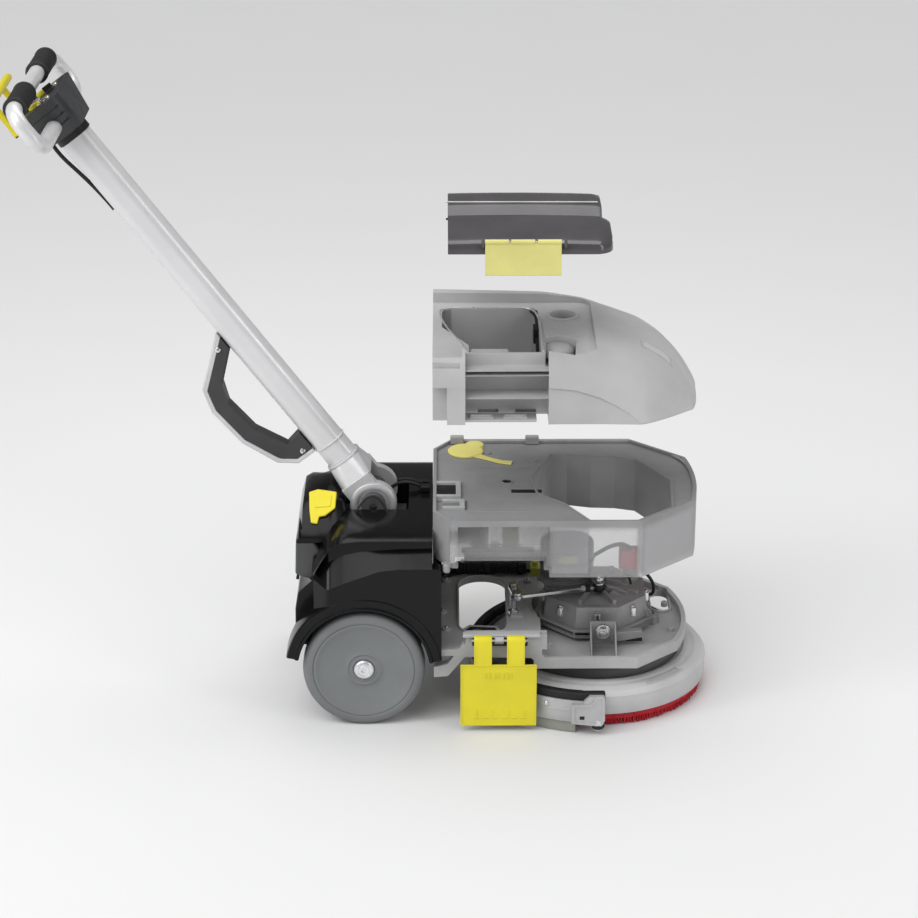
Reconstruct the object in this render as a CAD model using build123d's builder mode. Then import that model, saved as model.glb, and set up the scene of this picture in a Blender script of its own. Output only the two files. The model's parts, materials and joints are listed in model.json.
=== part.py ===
"""Compact walk-behind disc scrubber dryer, shown with its tanks lifted apart.

Frame: X forward, Y to the far side, Z up. The origin is on the floor, midway
between the wheels and straight below the axle. All sizes are millimetres.
"""
from build123d import *
import os
from math import cos, radians, sin

os.makedirs("parts", exist_ok=True)

# ---- Driving dimensions ----
RUN = 0.05                    # radial running clearance of every shaft in its hole
WALL = 5                      # moulded wall of the tanks and covers

HALF_WIDTH = 186              # half the width of the tanks and the rear housing

WHEEL_R = 104
WHEEL_Y = 163                 # tyre mid-plane
TYRE_WIDTH = 45
TYRE_SEAT_R = 86              # where the tyre sits on the rim
AXLE_R = 10
AXLE_HALF = 178

HEAD_X = 401                  # vertical axis of the brush head
RING_R = 196
RING_BOTTOM = 25
RING_TOP = 70
NECK_R = 75                   # neck plate of the gear case, set into the deck
CASE_R = 105                  # corner radius of the cast gear case
CASE_BOTTOM = 120
CASE_TOP = 175
MOTOR_X, MOTOR_Y = 353, 36
MOTOR_R = 47
MOTOR_TOP = 250

RIM_TOP = 124                 # deck rim
DECK_BOTTOM = 104
PAN_FLOOR = 112
PLATFORM_TOP = 140
PLATFORM_BOTTOM = 128
DECK_HALF = 178
RIDGE_TOP = 167

FLAP_HINGE_Y = 200            # side flap hinge, on both sides
FLAP_HINGE_Z = 168
FLAP_X0, FLAP_X1 = 164, 293

POST_X, POST_Y = 257, -40     # steering post
POST_R = 6
LINK_ARM = (5.3, -27.3)       # crank of the post and of the swivel, equal and parallel
LINK_BOTTOM, LINK_TOP = 184.5, 190

PIVOT_X, PIVOT_Z = 16, 352    # handle pivot
HANDLE_LEAN = 52.9            # handle angle above the floor, leaning backwards
TUBE_DEPTH, TUBE_WIDTH = 56, 42
TUBE_START, TUBE_END = 66, 814

TANK_REAR = 118               # rear face of both tanks
TANK_BOTTOM = 278             # fresh tank, lifted
TANK_TOP = 380.5
TANK_PANEL = 375              # top panel inside the rim
SHELL_BOTTOM = 553            # recovery tank, lifted
SHELL_CORNER = 620            # top of the rear corner steps that clear the housing's cheeks
CORNER_STEP = 166             # half width between those steps
SEAT_Z = 662                  # lid seat in the recovery tank
SEAT_FRONT = 388
SEAT_NEAR, SEAT_FAR = -150, 116
RECESS_X0, RECESS_X1 = 172, 308

LID_REAR, LID_FRONT = 144, 409
LID_BOTTOM = 829
LID_NEAR, LID_FAR = -140, 112

SQUEEGEE_IN, SQUEEGEE_OUT = 207, 222

HANDLE_UP = (-cos(radians(HANDLE_LEAN)), 0, sin(radians(HANDLE_LEAN)))
BOTH_SIDES = (-1, 1)


def mirrored_face(points):
    """Face from near-side points, mirrored across the vertical mid-plane."""
    with BuildSketch() as outline:
        with BuildLine():
            Polyline(*points)
            mirror(about=Plane.XZ)
        make_face()
    return outline.sketch


def side_band(side, near, far):
    """Plane and thickness of a band between two distances from the mid-plane."""
    return Plane.XZ.offset(-far if side > 0 else near), far - near


def handle_plane(along):
    """Plane across the handle tube, at a distance from the pivot."""
    origin = (PIVOT_X + along * HANDLE_UP[0], 0, PIVOT_Z + along * HANDLE_UP[2])
    return Plane(origin=origin, x_dir=(0, 1, 0), z_dir=HANDLE_UP)


# =====================================================================
# Chassis
# =====================================================================
DECK_FRONT = [(303, -DECK_HALF), (465, -DECK_HALF), (539, -110)]
DECK_NOSE = 561


def tray_outline(inset):
    """Front tray seen from above, with a round nose."""
    rear_x, half = 289 + inset, DECK_HALF - inset
    shoulder = (539 - inset, 110 - inset * 0.6)
    with BuildSketch() as outline:
        with BuildLine():
            Polyline((rear_x, half), (465 - inset * 0.4, half), shoulder)
            ThreePointArc(shoulder, (DECK_NOSE - inset, 0), (shoulder[0], -shoulder[1]))
            Polyline((shoulder[0], -shoulder[1]), (465 - inset * 0.4, -half), (rear_x, -half), (rear_x, half))
        make_face()
    return outline.sketch


HUMP = [(119, 88), (143, 90), (172, 126), (284, 124), (305, 104), (321, 104),
        (321, 112), (310, 122), (287, 147), (168, 149), (143, 113), (119, 107)]

with BuildPart() as chassis_deck:
    with BuildSketch(Plane.XY.offset(DECK_BOTTOM)):
        add(tray_outline(0))
    extrude(amount=RIM_TOP - DECK_BOTTOM)
    with BuildSketch(Plane.XY.offset(PAN_FLOOR)):
        add(tray_outline(8))
    extrude(amount=RIM_TOP - PAN_FLOOR, mode=Mode.SUBTRACT)
    # rear platform, narrower between the wheels
    with BuildSketch(Plane.XY.offset(PLATFORM_BOTTOM)):
        add(mirrored_face([(-80, 0), (-80, -128), (119, -128), (119, -DECK_HALF), (303, -DECK_HALF),
                           (303, 0)]))
    extrude(amount=PLATFORM_TOP - PLATFORM_BOTTOM)
    # web that joins the platform to the tray around the round pan
    with BuildSketch(Plane.XY.offset(DECK_BOTTOM)):
        with Locations((296, 0)):
            Rectangle(14, 2 * DECK_HALF)
    extrude(amount=PLATFORM_TOP - DECK_BOTTOM)
    with Locations((HEAD_X, 0, (PAN_FLOOR + PLATFORM_TOP) / 2)):
        Cylinder(112, PLATFORM_TOP - PAN_FLOOR, mode=Mode.SUBTRACT)
    for side in BOTH_SIDES:
        plane, depth = side_band(side, 162, DECK_HALF)
        with BuildSketch(plane):
            with BuildLine():
                Polyline(*HUMP, close=True)
            make_face()
        extrude(amount=depth)
        # ridge and lugs that carry the side flap
        with BuildSketch(Plane.XY.offset(PLATFORM_TOP)):
            with Locations((242, side * 168)):
                Rectangle(138, 20)
        extrude(amount=RIDGE_TOP - PLATFORM_TOP)
        lug_plane = Plane.YZ.offset(222)
        with BuildSketch(lug_plane):
            with BuildLine():
                Polyline((side * 178, 150), (side * 198, 162), (side * 204, FLAP_HINGE_Z),
                         (side * 200, 174), (side * 178, 167), close=True)
            make_face()
        extrude(amount=15)
        with BuildSketch(lug_plane):
            with Locations((side * FLAP_HINGE_Y, FLAP_HINGE_Z)):
                Circle(2)
        extrude(amount=15, mode=Mode.SUBTRACT)
    # legs that hold the axle under the platform
    for side in BOTH_SIDES:
        plane, depth = side_band(side, 92, 120)
        with BuildSketch(plane):
            with BuildLine():
                Polyline((-34, PLATFORM_BOTTOM), (34, PLATFORM_BOTTOM), (18, 86), (-18, 86), close=True)
            make_face()
            with Locations((0, WHEEL_R)):
                Circle(AXLE_R, mode=Mode.SUBTRACT)
        extrude(amount=depth)
    # boss of the steering post, clear of the service hole
    with BuildSketch(Plane.XY.offset(PLATFORM_TOP - 1)):
        with Locations((POST_X + 6, POST_Y)):
            Rectangle(22, 22)
    extrude(amount=5)
    # through openings: service hole, head neck, oval hole at the front
    with BuildSketch(Plane.XY.offset(DECK_BOTTOM)):
        with Locations((203.5, 0)):
            SlotOverall(246, 87, rotation=90)
        with Locations((HEAD_X, 0)):
            Circle(NECK_R)
        with Locations((521, 70)):
            SlotOverall(84, 32, rotation=90)
    extrude(amount=PLATFORM_TOP + 5 - DECK_BOTTOM, mode=Mode.SUBTRACT)
    with BuildSketch(Plane.XY.offset(PLATFORM_BOTTOM)):
        with Locations((POST_X, POST_Y)):
            Circle(POST_R + RUN)
    extrude(amount=20, mode=Mode.SUBTRACT)
chassis_deck.part.label = "chassis_deck"
export_step(chassis_deck.part, "parts/chassis_deck.step")

with BuildPart() as wheel_axle:
    with BuildSketch(Plane.XZ):
        with Locations((0, WHEEL_R)):
            Circle(AXLE_R)
    extrude(amount=AXLE_HALF, both=True)
wheel_axle.part.label = "wheel_axle"
export_step(wheel_axle.part, "parts/wheel_axle.step")

HOUSING_BOTTOM = PLATFORM_TOP
HOUSING_TOP = 350
HOUSING_SIDE_TOP = 341
ARCH_R = 112
WELL_FLOOR = 306

with BuildPart() as rear_housing:
    with BuildSketch(Plane.XZ):
        with BuildLine():
            Polyline((117, HOUSING_BOTTOM), (117, HOUSING_TOP), (-25, HOUSING_TOP), (-81, 283),
                     (-84, 259), (-84, HOUSING_BOTTOM), close=True)
        make_face()
    extrude(amount=HALF_WIDTH - 1, both=True)
    with BuildSketch(Plane.YZ):
        with BuildLine():
            side_y = HALF_WIDTH - 1
            Polyline((-side_y + 14, HOUSING_SIDE_TOP), (-side_y, HOUSING_SIDE_TOP - 16), (-side_y, 120),
                     (side_y, 120), (side_y, HOUSING_SIDE_TOP - 16), (side_y - 14, HOUSING_SIDE_TOP))
            ThreePointArc((side_y - 14, HOUSING_SIDE_TOP), (0, HOUSING_TOP), (-side_y + 14, HOUSING_SIDE_TOP))
        make_face()
    extrude(amount=400, both=True, mode=Mode.INTERSECT)
    for side in BOTH_SIDES:
        # forward cheek beside the tanks
        plane, depth = side_band(side, 168, HALF_WIDTH - 1)
        with BuildSketch(plane):
            with BuildLine():
                Polyline((100, 164), (134, 164), (134, 284), (127, 292), (100, 292), close=True)
            make_face()
        extrude(amount=depth)
        # fender
        plane, depth = side_band(side, 134, 190)
        with BuildSketch(plane):
            with BuildLine():
                Polyline((-104, 124), (-119, 127))
                ThreePointArc((-119, 127), (-88, 216), (4, 252))
                ThreePointArc((4, 252), (72, 238), (117, 196))
                Polyline((117, 196), (117, 164), (98, 158), (98, 124), (-104, 124))
            make_face()
        extrude(amount=depth)
        # wheel arch
        plane, depth = side_band(side, 130, 192)
        with BuildSketch(plane):
            with Locations((0, WHEEL_R)):
                Circle(ARCH_R)
        extrude(amount=depth, mode=Mode.SUBTRACT)
        # side cavity under the roof
        with Locations(((-30 + 112) / 2, side * (66 + 180) / 2, (256 + 332) / 2)):
            Box(142, 114, 76, mode=Mode.SUBTRACT)
    # main cavity for battery and turbine, and the well of the handle knuckle
    with Locations(((-66 + 112) / 2, 0, (HOUSING_BOTTOM + 299) / 2)):
        Box(178, 2 * 124, 299 - HOUSING_BOTTOM, mode=Mode.SUBTRACT)
    with Locations(((-46 + 76) / 2, 0, (WELL_FLOOR + 360) / 2)):
        Box(122, 2 * 62, 360 - WELL_FLOOR, mode=Mode.SUBTRACT)
rear_housing.part.label = "rear_housing"
export_step(rear_housing.part, "parts/rear_housing.step")

with BuildPart() as rear_box:
    with BuildSketch(Plane.XZ):
        with BuildLine():
            Polyline((-85, 240), (-117, 250), (-115, 309), (-104, 365), (-58, 385), (-36, 366),
                     (-29, 350), (-82.6, 284), (-85, 262), close=True)
        make_face()
    extrude(amount=112, both=True)
    with BuildSketch(Plane.YZ):
        with BuildLine():
            Polyline((-112, 230), (-112, 318), (-58, 370), (-30, 386), (30, 386), (58, 370), (112, 318),
                     (112, 230), close=True)
        make_face()
    extrude(amount=400, both=True, mode=Mode.INTERSECT)
rear_box.part.label = "rear_box"
export_step(rear_box.part, "parts/rear_box.step")

CHEEK_IN, CHEEK_OUT = 47, 59
EAR_IN, EAR_OUT = 30, 46
PIN_R = 7

with BuildPart() as handle_pedestal:
    with BuildSketch(Plane.XY.offset(WELL_FLOOR)):
        with Locations((15, 0)):
            Rectangle(112, 2 * 60)
    extrude(amount=4)
    for near, far in ((-CHEEK_OUT, -CHEEK_IN), (-28, 28), (CHEEK_IN, CHEEK_OUT)):
        with BuildSketch(Plane.XZ.offset(-far)):
            with BuildLine():
                Polyline((PIVOT_X + 26, WELL_FLOOR), (PIVOT_X + 20, PIVOT_Z + 8))
                ThreePointArc((PIVOT_X + 20, PIVOT_Z + 8), (PIVOT_X, PIVOT_Z + 24),
                              (PIVOT_X - 20, PIVOT_Z + 8))
                Polyline((PIVOT_X - 20, PIVOT_Z + 8), (PIVOT_X - 26, WELL_FLOOR), (PIVOT_X + 26, WELL_FLOOR))
            make_face()
            with Locations((PIVOT_X, PIVOT_Z)):
                Circle(PIN_R, mode=Mode.SUBTRACT)
        extrude(amount=far - near)
handle_pedestal.part.label = "handle_pedestal"
export_step(handle_pedestal.part, "parts/handle_pedestal.step")

with BuildPart() as handle_pin:
    with BuildSketch(Plane.XZ):
        with Locations((PIVOT_X, PIVOT_Z)):
            Circle(PIN_R)
    extrude(amount=CHEEK_OUT - 2, both=True)
handle_pin.part.label = "handle_pin"
export_step(handle_pin.part, "parts/handle_pin.step")

with BuildPart() as battery_pack:
    with Locations((20, 0, 193)):
        Box(170, 190, 104)
    fillet(battery_pack.edges().filter_by(Axis.Z), radius=8)
    with Locations((60, -50, 249), (60, 50, 249)):
        Cylinder(8, 8)
battery_pack.part.label = "battery_pack"
export_step(battery_pack.part, "parts/battery_pack.step")

with BuildPart() as suction_turbine:
    with Locations((20, 0, 272)):
        Cylinder(44, 38)
    with Locations((20, 66, 268)):
        Box(40, 56, 26)
suction_turbine.part.label = "suction_turbine"
export_step(suction_turbine.part, "parts/suction_turbine.step")

with BuildPart() as suction_hose:
    with BuildLine() as hose_path:
        Polyline((150, 132, 152), (285, 132, 152))
    with BuildSketch(Plane(origin=(150, 132, 152), z_dir=(1, 0, 0))):
        Circle(11)
        Circle(8, mode=Mode.SUBTRACT)
    sweep()
suction_hose.part.label = "suction_hose"
export_step(suction_hose.part, "parts/suction_hose.step")

with BuildPart() as water_valve:
    with Locations((301, 137, 147)):
        Box(18, 26, 14)
    with Locations((301, 137, 158)):
        Cylinder(6, 8)
water_valve.part.label = "water_valve"
export_step(water_valve.part, "parts/water_valve.step")

BRACKET_X = 409.5

with BuildPart() as stop_bracket:
    with BuildSketch(Plane.YZ.offset(BRACKET_X - 22.5)):
        with BuildLine():
            Polyline((-113, 161), (-109, 161), (-109, PAN_FLOOR), (-166, PAN_FLOOR), (-166, 116),
                     (-113, 116), close=True)
        make_face()
    extrude(amount=45)
    for edge_x in (BRACKET_X - 22.5, BRACKET_X + 19.5):
        with BuildSketch(Plane.YZ.offset(edge_x)):
            with BuildLine():
                Polyline((-113, 158), (-113, 116), (-160, 116), close=True)
            make_face()
        extrude(amount=3)
    with BuildSketch(Plane.XZ.offset(106)):
        with Locations((BRACKET_X, 143)):
            Circle(5)
    extrude(amount=10, mode=Mode.SUBTRACT)
stop_bracket.part.label = "stop_bracket"
export_step(stop_bracket.part, "parts/stop_bracket.step")

with BuildPart() as stop_bolt:
    with BuildSketch(Plane.XZ.offset(107)):
        with Locations((BRACKET_X, 143)):
            Circle(5)
    extrude(amount=6)
    with BuildSketch(Plane.XZ.offset(113)):
        with Locations((BRACKET_X, 143)):
            Circle(12)
    extrude(amount=3)
    with BuildSketch(Plane.XZ.offset(116)):
        with Locations((BRACKET_X, 143)):
            RegularPolygon(9, 6)
    extrude(amount=6)
stop_bolt.part.label = "stop_bolt"
export_step(stop_bolt.part, "parts/stop_bolt.step")

with BuildPart() as flap_pins:
    with BuildSketch(Plane.YZ.offset(182)):
        with Locations((-FLAP_HINGE_Y, FLAP_HINGE_Z), (FLAP_HINGE_Y, FLAP_HINGE_Z)):
            Circle(2)
    extrude(amount=96)
flap_pins.part.label = "flap_pins"
export_step(flap_pins.part, "parts/flap_pins.step")

with BuildPart() as pocket_bracket:
    with Locations((203, -100, 119)):
        Box(84, 44, 18)
    with Locations((188, -100, 122), (226, -100, 122)):
        Box(34, 34, 14, mode=Mode.SUBTRACT)
pocket_bracket.part.label = "pocket_bracket"
export_step(pocket_bracket.part, "parts/pocket_bracket.step")

# =====================================================================
# Wheels
# =====================================================================


def wheel_section(radii_and_depths):
    """Spin a closed profile of (radius, distance from the mid-plane) about the axle."""
    with BuildSketch(Plane.YZ) as profile:
        with BuildLine():
            Polyline(*[(depth, WHEEL_R + radius) for radius, depth in radii_and_depths], close=True)
        make_face()
    revolve(profile.sketch, axis=Axis((0, 0, WHEEL_R), (0, 1, 0)))


TYRE_IN = WHEEL_Y - TYRE_WIDTH / 2
TYRE_OUT = WHEEL_Y + TYRE_WIDTH / 2
TYRE_PROFILE = [(TYRE_SEAT_R, TYRE_IN + 3), (TYRE_SEAT_R + 6, TYRE_IN), (WHEEL_R - 5, TYRE_IN + 1),
                (WHEEL_R, TYRE_IN + 8), (WHEEL_R, TYRE_OUT - 8), (WHEEL_R - 5, TYRE_OUT - 1),
                (TYRE_SEAT_R + 6, TYRE_OUT), (TYRE_SEAT_R, TYRE_OUT - 3)]
RIM_PROFILE = [(AXLE_R + RUN, TYRE_IN + 1), (24, TYRE_IN + 1), (28, WHEEL_Y - 4), (70, WHEEL_Y - 4),
               (76, TYRE_IN + 4), (TYRE_SEAT_R, TYRE_IN + 4), (TYRE_SEAT_R, TYRE_OUT - 4),
               (74, TYRE_OUT - 4), (60, WHEEL_Y + 14), (30, WHEEL_Y + 12), (24, WHEEL_Y + 15),
               (AXLE_R + RUN, WHEEL_Y + 15)]
CAP_PROFILE = [(AXLE_R + 1, WHEEL_Y + 15), (18, WHEEL_Y + 15), (17, WHEEL_Y + 20), (13, WHEEL_Y + 22.5),
               (0, WHEEL_Y + 22.5), (0, WHEEL_Y + 18.5), (AXLE_R + 1, WHEEL_Y + 18.5)]


def toward(side, profile):
    """Put a wheel profile on the near (-1) or the far (+1) side."""
    return [(radius, side * depth) for radius, depth in profile]


with BuildPart() as tyre_near:
    wheel_section(toward(-1, TYRE_PROFILE))
tyre_near.part.label = "tyre_near"
export_step(tyre_near.part, "parts/tyre_near.step")

with BuildPart() as tyre_far:
    wheel_section(toward(1, TYRE_PROFILE))
tyre_far.part.label = "tyre_far"
export_step(tyre_far.part, "parts/tyre_far.step")

with BuildPart() as rim_near:
    wheel_section(toward(-1, RIM_PROFILE))
rim_near.part.label = "rim_near"
export_step(rim_near.part, "parts/rim_near.step")

with BuildPart() as rim_far:
    wheel_section(toward(1, RIM_PROFILE))
rim_far.part.label = "rim_far"
export_step(rim_far.part, "parts/rim_far.step")

with BuildPart() as hub_cap_near:
    wheel_section(toward(-1, CAP_PROFILE))
hub_cap_near.part.label = "hub_cap_near"
export_step(hub_cap_near.part, "parts/hub_cap_near.step")

with BuildPart() as hub_cap_far:
    wheel_section(toward(1, CAP_PROFILE))
hub_cap_far.part.label = "hub_cap_far"
export_step(hub_cap_far.part, "parts/hub_cap_far.step")

# =====================================================================
# Battery box clip
# =====================================================================
CLIP_PLANE = Plane(origin=(-67, -73.6, 359), x_dir=(1, 0, 0), z_dir=(0, -0.694, 0.72))

with BuildPart() as box_clip:
    with BuildSketch(CLIP_PLANE.offset(1.2)):
        with BuildLine():
            Polyline((-26, 26), (-11, 31), (21, 26), (19, -4), (2, -18), (-8, -20), (-11, -33),
                     (-22, -31), (-25, -7), close=True)
        make_face()
    extrude(amount=5)
    fillet(box_clip.faces().sort_by(Axis.Z)[-1].edges(), radius=1.2)
box_clip.part.label = "box_clip"
export_step(box_clip.part, "parts/box_clip.step")

# =====================================================================
# Handle
# =====================================================================
EAR_R = 40

with BuildPart() as handle_fork:
    for near, far in ((-EAR_OUT, -EAR_IN), (EAR_IN, EAR_OUT)):
        with BuildSketch(Plane.XZ.offset(-far)):
            with Locations((PIVOT_X, PIVOT_Z)):
                Circle(EAR_R)
                Circle(PIN_R + RUN, mode=Mode.SUBTRACT)
        extrude(amount=far - near)
    with BuildSketch(handle_plane(28)):
        for side in BOTH_SIDES:
            with Locations((side * (EAR_IN + EAR_OUT) / 2, 0)):
                Rectangle(EAR_OUT - EAR_IN, TUBE_DEPTH)
    extrude(amount=24)
    with BuildSketch(handle_plane(48)) as collar_foot:
        RectangleRounded(2 * EAR_OUT, TUBE_DEPTH + 6, 16)
    with BuildSketch(handle_plane(86)) as collar_top:
        RectangleRounded(TUBE_WIDTH + 8, TUBE_DEPTH + 6, 22)
    loft()
    with BuildSketch(handle_plane(TUBE_START)):
        RectangleRounded(TUBE_WIDTH, TUBE_DEPTH, 20)
    extrude(amount=60, mode=Mode.SUBTRACT)
handle_fork.part.label = "handle_fork"
export_step(handle_fork.part, "parts/handle_fork.step")

with BuildPart() as handle_tube:
    with BuildSketch(handle_plane(TUBE_START)):
        RectangleRounded(TUBE_WIDTH, TUBE_DEPTH, 20)
        RectangleRounded(TUBE_WIDTH - 5, TUBE_DEPTH - 5, 17.5, mode=Mode.SUBTRACT)
    extrude(amount=TUBE_END - TUBE_START)
handle_tube.part.label = "handle_tube"
export_step(handle_tube.part, "parts/handle_tube.step")

# carry handle: corner points (distance along the tube, distance below its axis)
CARRY_OUTER = [(128, 28.2), (128, 64), (150, 92), (215, 118), (290, 124), (330, 112), (396, 28.2)]
CARRY_INNER = [(172, 28.2), (166, 58), (222, 84), (288, 90), (318, 78), (360, 28.2)]
CARRY_PLANE = Plane(origin=(PIVOT_X, 0, PIVOT_Z), x_dir=HANDLE_UP, z_dir=(0, -1, 0))


def carry_face(outer, inner):
    """Bow of the carry handle between an outer and an inner run of points."""
    with BuildSketch() as outline:
        with BuildLine():
            Polyline(*[(a, b) for a, b in outer], *[(a, b) for a, b in reversed(inner)], close=True)
        make_face()
    return outline.sketch


CARRY_MIDDLE = [(136, 28.2), (136, 60), (155, 85), (216.5, 110.5), (288, 116), (325, 105), (386, 28.2)]

with BuildPart() as carry_spine:
    with BuildSketch(CARRY_PLANE):
        add(carry_face(CARRY_OUTER, CARRY_MIDDLE))
    extrude(amount=15, both=True)
carry_spine.part.label = "carry_spine"
export_step(carry_spine.part, "parts/carry_spine.step")

with BuildPart() as carry_grip:
    with BuildSketch(CARRY_PLANE):
        add(carry_face(CARRY_MIDDLE, CARRY_INNER))
    extrude(amount=15, both=True)
    fillet(carry_grip.edges().filter_by(lambda edge: edge.center().Z > 0 and abs(edge.center().Y) > 14)
           .filter_by(lambda edge: 40 < edge.length < 75), radius=4)
carry_grip.part.label = "carry_grip"
export_step(carry_grip.part, "parts/carry_grip.step")

CONSOLE_START, CONSOLE_END = TUBE_END, TUBE_END + 66


def bar_point(across, along):
    """Point in the handlebar's plane."""
    base = handle_plane(along).origin
    return Vector(base.X, across, base.Z)


LEVER_ALONG, LEVER_BELOW = TUBE_END + 54, 58     # drive lever pivot, behind the console
BACK_SIDE = (-sin(radians(HANDLE_LEAN)), 0, -cos(radians(HANDLE_LEAN)))


def back_point(across, along, below):
    """Point a distance behind the handle's own plane."""
    base = bar_point(across, along)
    return Vector(base.X + below * BACK_SIDE[0], across, base.Z + below * BACK_SIDE[2])


with BuildPart() as console_housing:
    with BuildSketch(handle_plane(CONSOLE_START)):
        RectangleRounded(120, 74, 20)
    with BuildSketch(handle_plane(CONSOLE_END)):
        RectangleRounded(170, 84, 20)
    loft()
    # lugs of the drive lever behind the console
    for start in (-44, 28):
        with BuildSketch(Plane(origin=back_point(start, LEVER_ALONG, LEVER_BELOW), x_dir=HANDLE_UP,
                               z_dir=(0, 1, 0))):
            with Locations((0, 14)):
                Rectangle(20, 46)
            Circle(6 + RUN, mode=Mode.SUBTRACT)
        extrude(amount=16)
    with BuildSketch(handle_plane(CONSOLE_END)):
        with Locations((-45, 8), (45, 8)):
            Circle(11 + 0.3)
        with Locations((0, -16)):
            Circle(9 + RUN)
    extrude(amount=-10, mode=Mode.SUBTRACT)
console_housing.part.label = "console_housing"
export_step(console_housing.part, "parts/console_housing.step")

BAR_R = 13
BAR_LOW, BAR_HIGH, BAR_HALF = TUBE_END + 24, TUBE_END + 96, 205
BAR_BEND = 30


with BuildPart() as handlebar:
    with BuildLine():
        FilletPolyline(bar_point(-66, BAR_LOW), bar_point(-BAR_HALF, BAR_LOW), bar_point(-BAR_HALF, BAR_HIGH),
                       bar_point(BAR_HALF, BAR_HIGH), bar_point(BAR_HALF, BAR_LOW), bar_point(66, BAR_LOW),
                       radius=BAR_BEND)
    with BuildSketch(Plane(origin=bar_point(-66, BAR_LOW), z_dir=(0, -1, 0))):
        Circle(BAR_R)
        Circle(BAR_R - 2.5, mode=Mode.SUBTRACT)
    sweep()
    add(console_housing.part, mode=Mode.SUBTRACT)
handlebar.part.label = "handlebar"
export_step(handlebar.part, "parts/handlebar.step")

with BuildPart() as handlebar_grips:
    for start, end in ((-170, -70), (70, 170)):
        with BuildSketch(Plane(origin=bar_point(start, BAR_HIGH), z_dir=(0, 1, 0))):
            Circle(BAR_R + 4)
            Circle(BAR_R, mode=Mode.SUBTRACT)
        extrude(amount=end - start)
handlebar_grips.part.label = "handlebar_grips"
export_step(handlebar_grips.part, "parts/handlebar_grips.step")

with BuildPart() as drive_lever:
    with BuildSketch(Plane(origin=back_point(-60, LEVER_ALONG, LEVER_BELOW), z_dir=(0, 1, 0))):
        Circle(6)
    extrude(amount=120)
    for start in (-60, 48):
        with BuildSketch(Plane(origin=back_point(start, LEVER_ALONG, LEVER_BELOW), x_dir=HANDLE_UP,
                               z_dir=(0, 1, 0))):
            with Locations((30, 0)):
                Rectangle(60, 8)
        extrude(amount=12)
    with BuildSketch(Plane(origin=back_point(-120, LEVER_ALONG + 60, LEVER_BELOW), z_dir=(0, 1, 0))):
        Circle(7)
    extrude(amount=240)
drive_lever.part.label = "drive_lever"
export_step(drive_lever.part, "parts/drive_lever.step")

with BuildPart() as key_switch:
    with BuildSketch(handle_plane(CONSOLE_END - 9)):
        with Locations((0, -16)):
            Circle(9)
    extrude(amount=13)
    with BuildSketch(handle_plane(CONSOLE_END + 4)):
        with Locations((0, -16)):
            Rectangle(4, 16)
    extrude(amount=8)
key_switch.part.label = "key_switch"
export_step(key_switch.part, "parts/key_switch.step")

BUTTON_TRAVEL = 3

with BuildPart() as water_button:
    with BuildSketch(handle_plane(CONSOLE_END - 10 + BUTTON_TRAVEL)):
        with Locations((-45, 8)):
            Circle(11)
    extrude(amount=12)
water_button.part.label = "water_button"
export_step(water_button.part, "parts/water_button.step")

with BuildPart() as suction_button:
    with BuildSketch(handle_plane(CONSOLE_END - 10 + BUTTON_TRAVEL)):
        with Locations((45, 8)):
            Circle(11)
    extrude(amount=12)
suction_button.part.label = "suction_button"
export_step(suction_button.part, "parts/suction_button.step")

# =====================================================================
# Steering post and link
# =====================================================================
LINK_PIN_R = 4
POST_PIN = (POST_X + LINK_ARM[0], POST_Y + LINK_ARM[1])
HEAD_PIN = (HEAD_X + LINK_ARM[0], LINK_ARM[1])


def bar_between(start, end, half):
    """Flat bar seen from above, with round ends."""
    length = ((end[0] - start[0]) ** 2 + (end[1] - start[1]) ** 2) ** 0.5
    across = ((end[1] - start[1]) / length * half, -(end[0] - start[0]) / length * half)
    with BuildSketch() as outline:
        with Locations(start, end):
            Circle(half)
        with BuildLine():
            Polyline((start[0] - across[0], start[1] - across[1]),
                     (start[0] + across[0], start[1] + across[1]),
                     (end[0] + across[0], end[1] + across[1]),
                     (end[0] - across[0], end[1] - across[1]), close=True)
        make_face()
    return outline.sketch


with BuildPart() as steering_post:
    with BuildSketch(Plane.XY.offset(PLATFORM_BOTTOM)):
        with Locations((POST_X, POST_Y)):
            Circle(POST_R)
    extrude(amount=LINK_TOP + 1 - PLATFORM_BOTTOM)
    with BuildSketch(Plane.XY.offset(LINK_TOP + 1)):
        add(bar_between((POST_X, POST_Y), POST_PIN, 9))
    extrude(amount=5)
    with BuildSketch(Plane.XY.offset(LINK_BOTTOM - 2)):
        with Locations(POST_PIN):
            Circle(LINK_PIN_R)
    extrude(amount=LINK_TOP + 3 - LINK_BOTTOM)
steering_post.part.label = "steering_post"
export_step(steering_post.part, "parts/steering_post.step")

with BuildPart() as steering_link:
    with BuildSketch(Plane.XY.offset(LINK_BOTTOM)):
        add(bar_between(POST_PIN, HEAD_PIN, 4))
        with Locations(POST_PIN, HEAD_PIN):
            Circle(9)
            Circle(LINK_PIN_R + RUN, mode=Mode.SUBTRACT)
    extrude(amount=LINK_TOP - LINK_BOTTOM)
steering_link.part.label = "steering_link"
export_step(steering_link.part, "parts/steering_link.step")

# =====================================================================
# Swivelling brush head
# =====================================================================
HEAD_CENTRE = (HEAD_X, 0)
PULLEY_BOTTOM, PULLEY_TOP = 138, 156
BIG_PULLEY_R, SMALL_PULLEY_R = 23, 11
BELT = 3
BELT_GAP = 0.1
CASE_TILT = 22.5              # turns the octagon so that a flat faces each side
UPPER_TIER_R = 98
NECK_BORE_R = 40
TUBE_OUT, TUBE_IN = 32, 28.5   # swivel tube around the brush shaft
TUBE_WALL_HALF_ANGLE = 60      # what is left of its wall where the belt passes
BELT_DIRECTION = 143
CRANK_SHAFT_R = 8
TUBE_TOP = 166
SHAFT_R = 12


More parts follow.
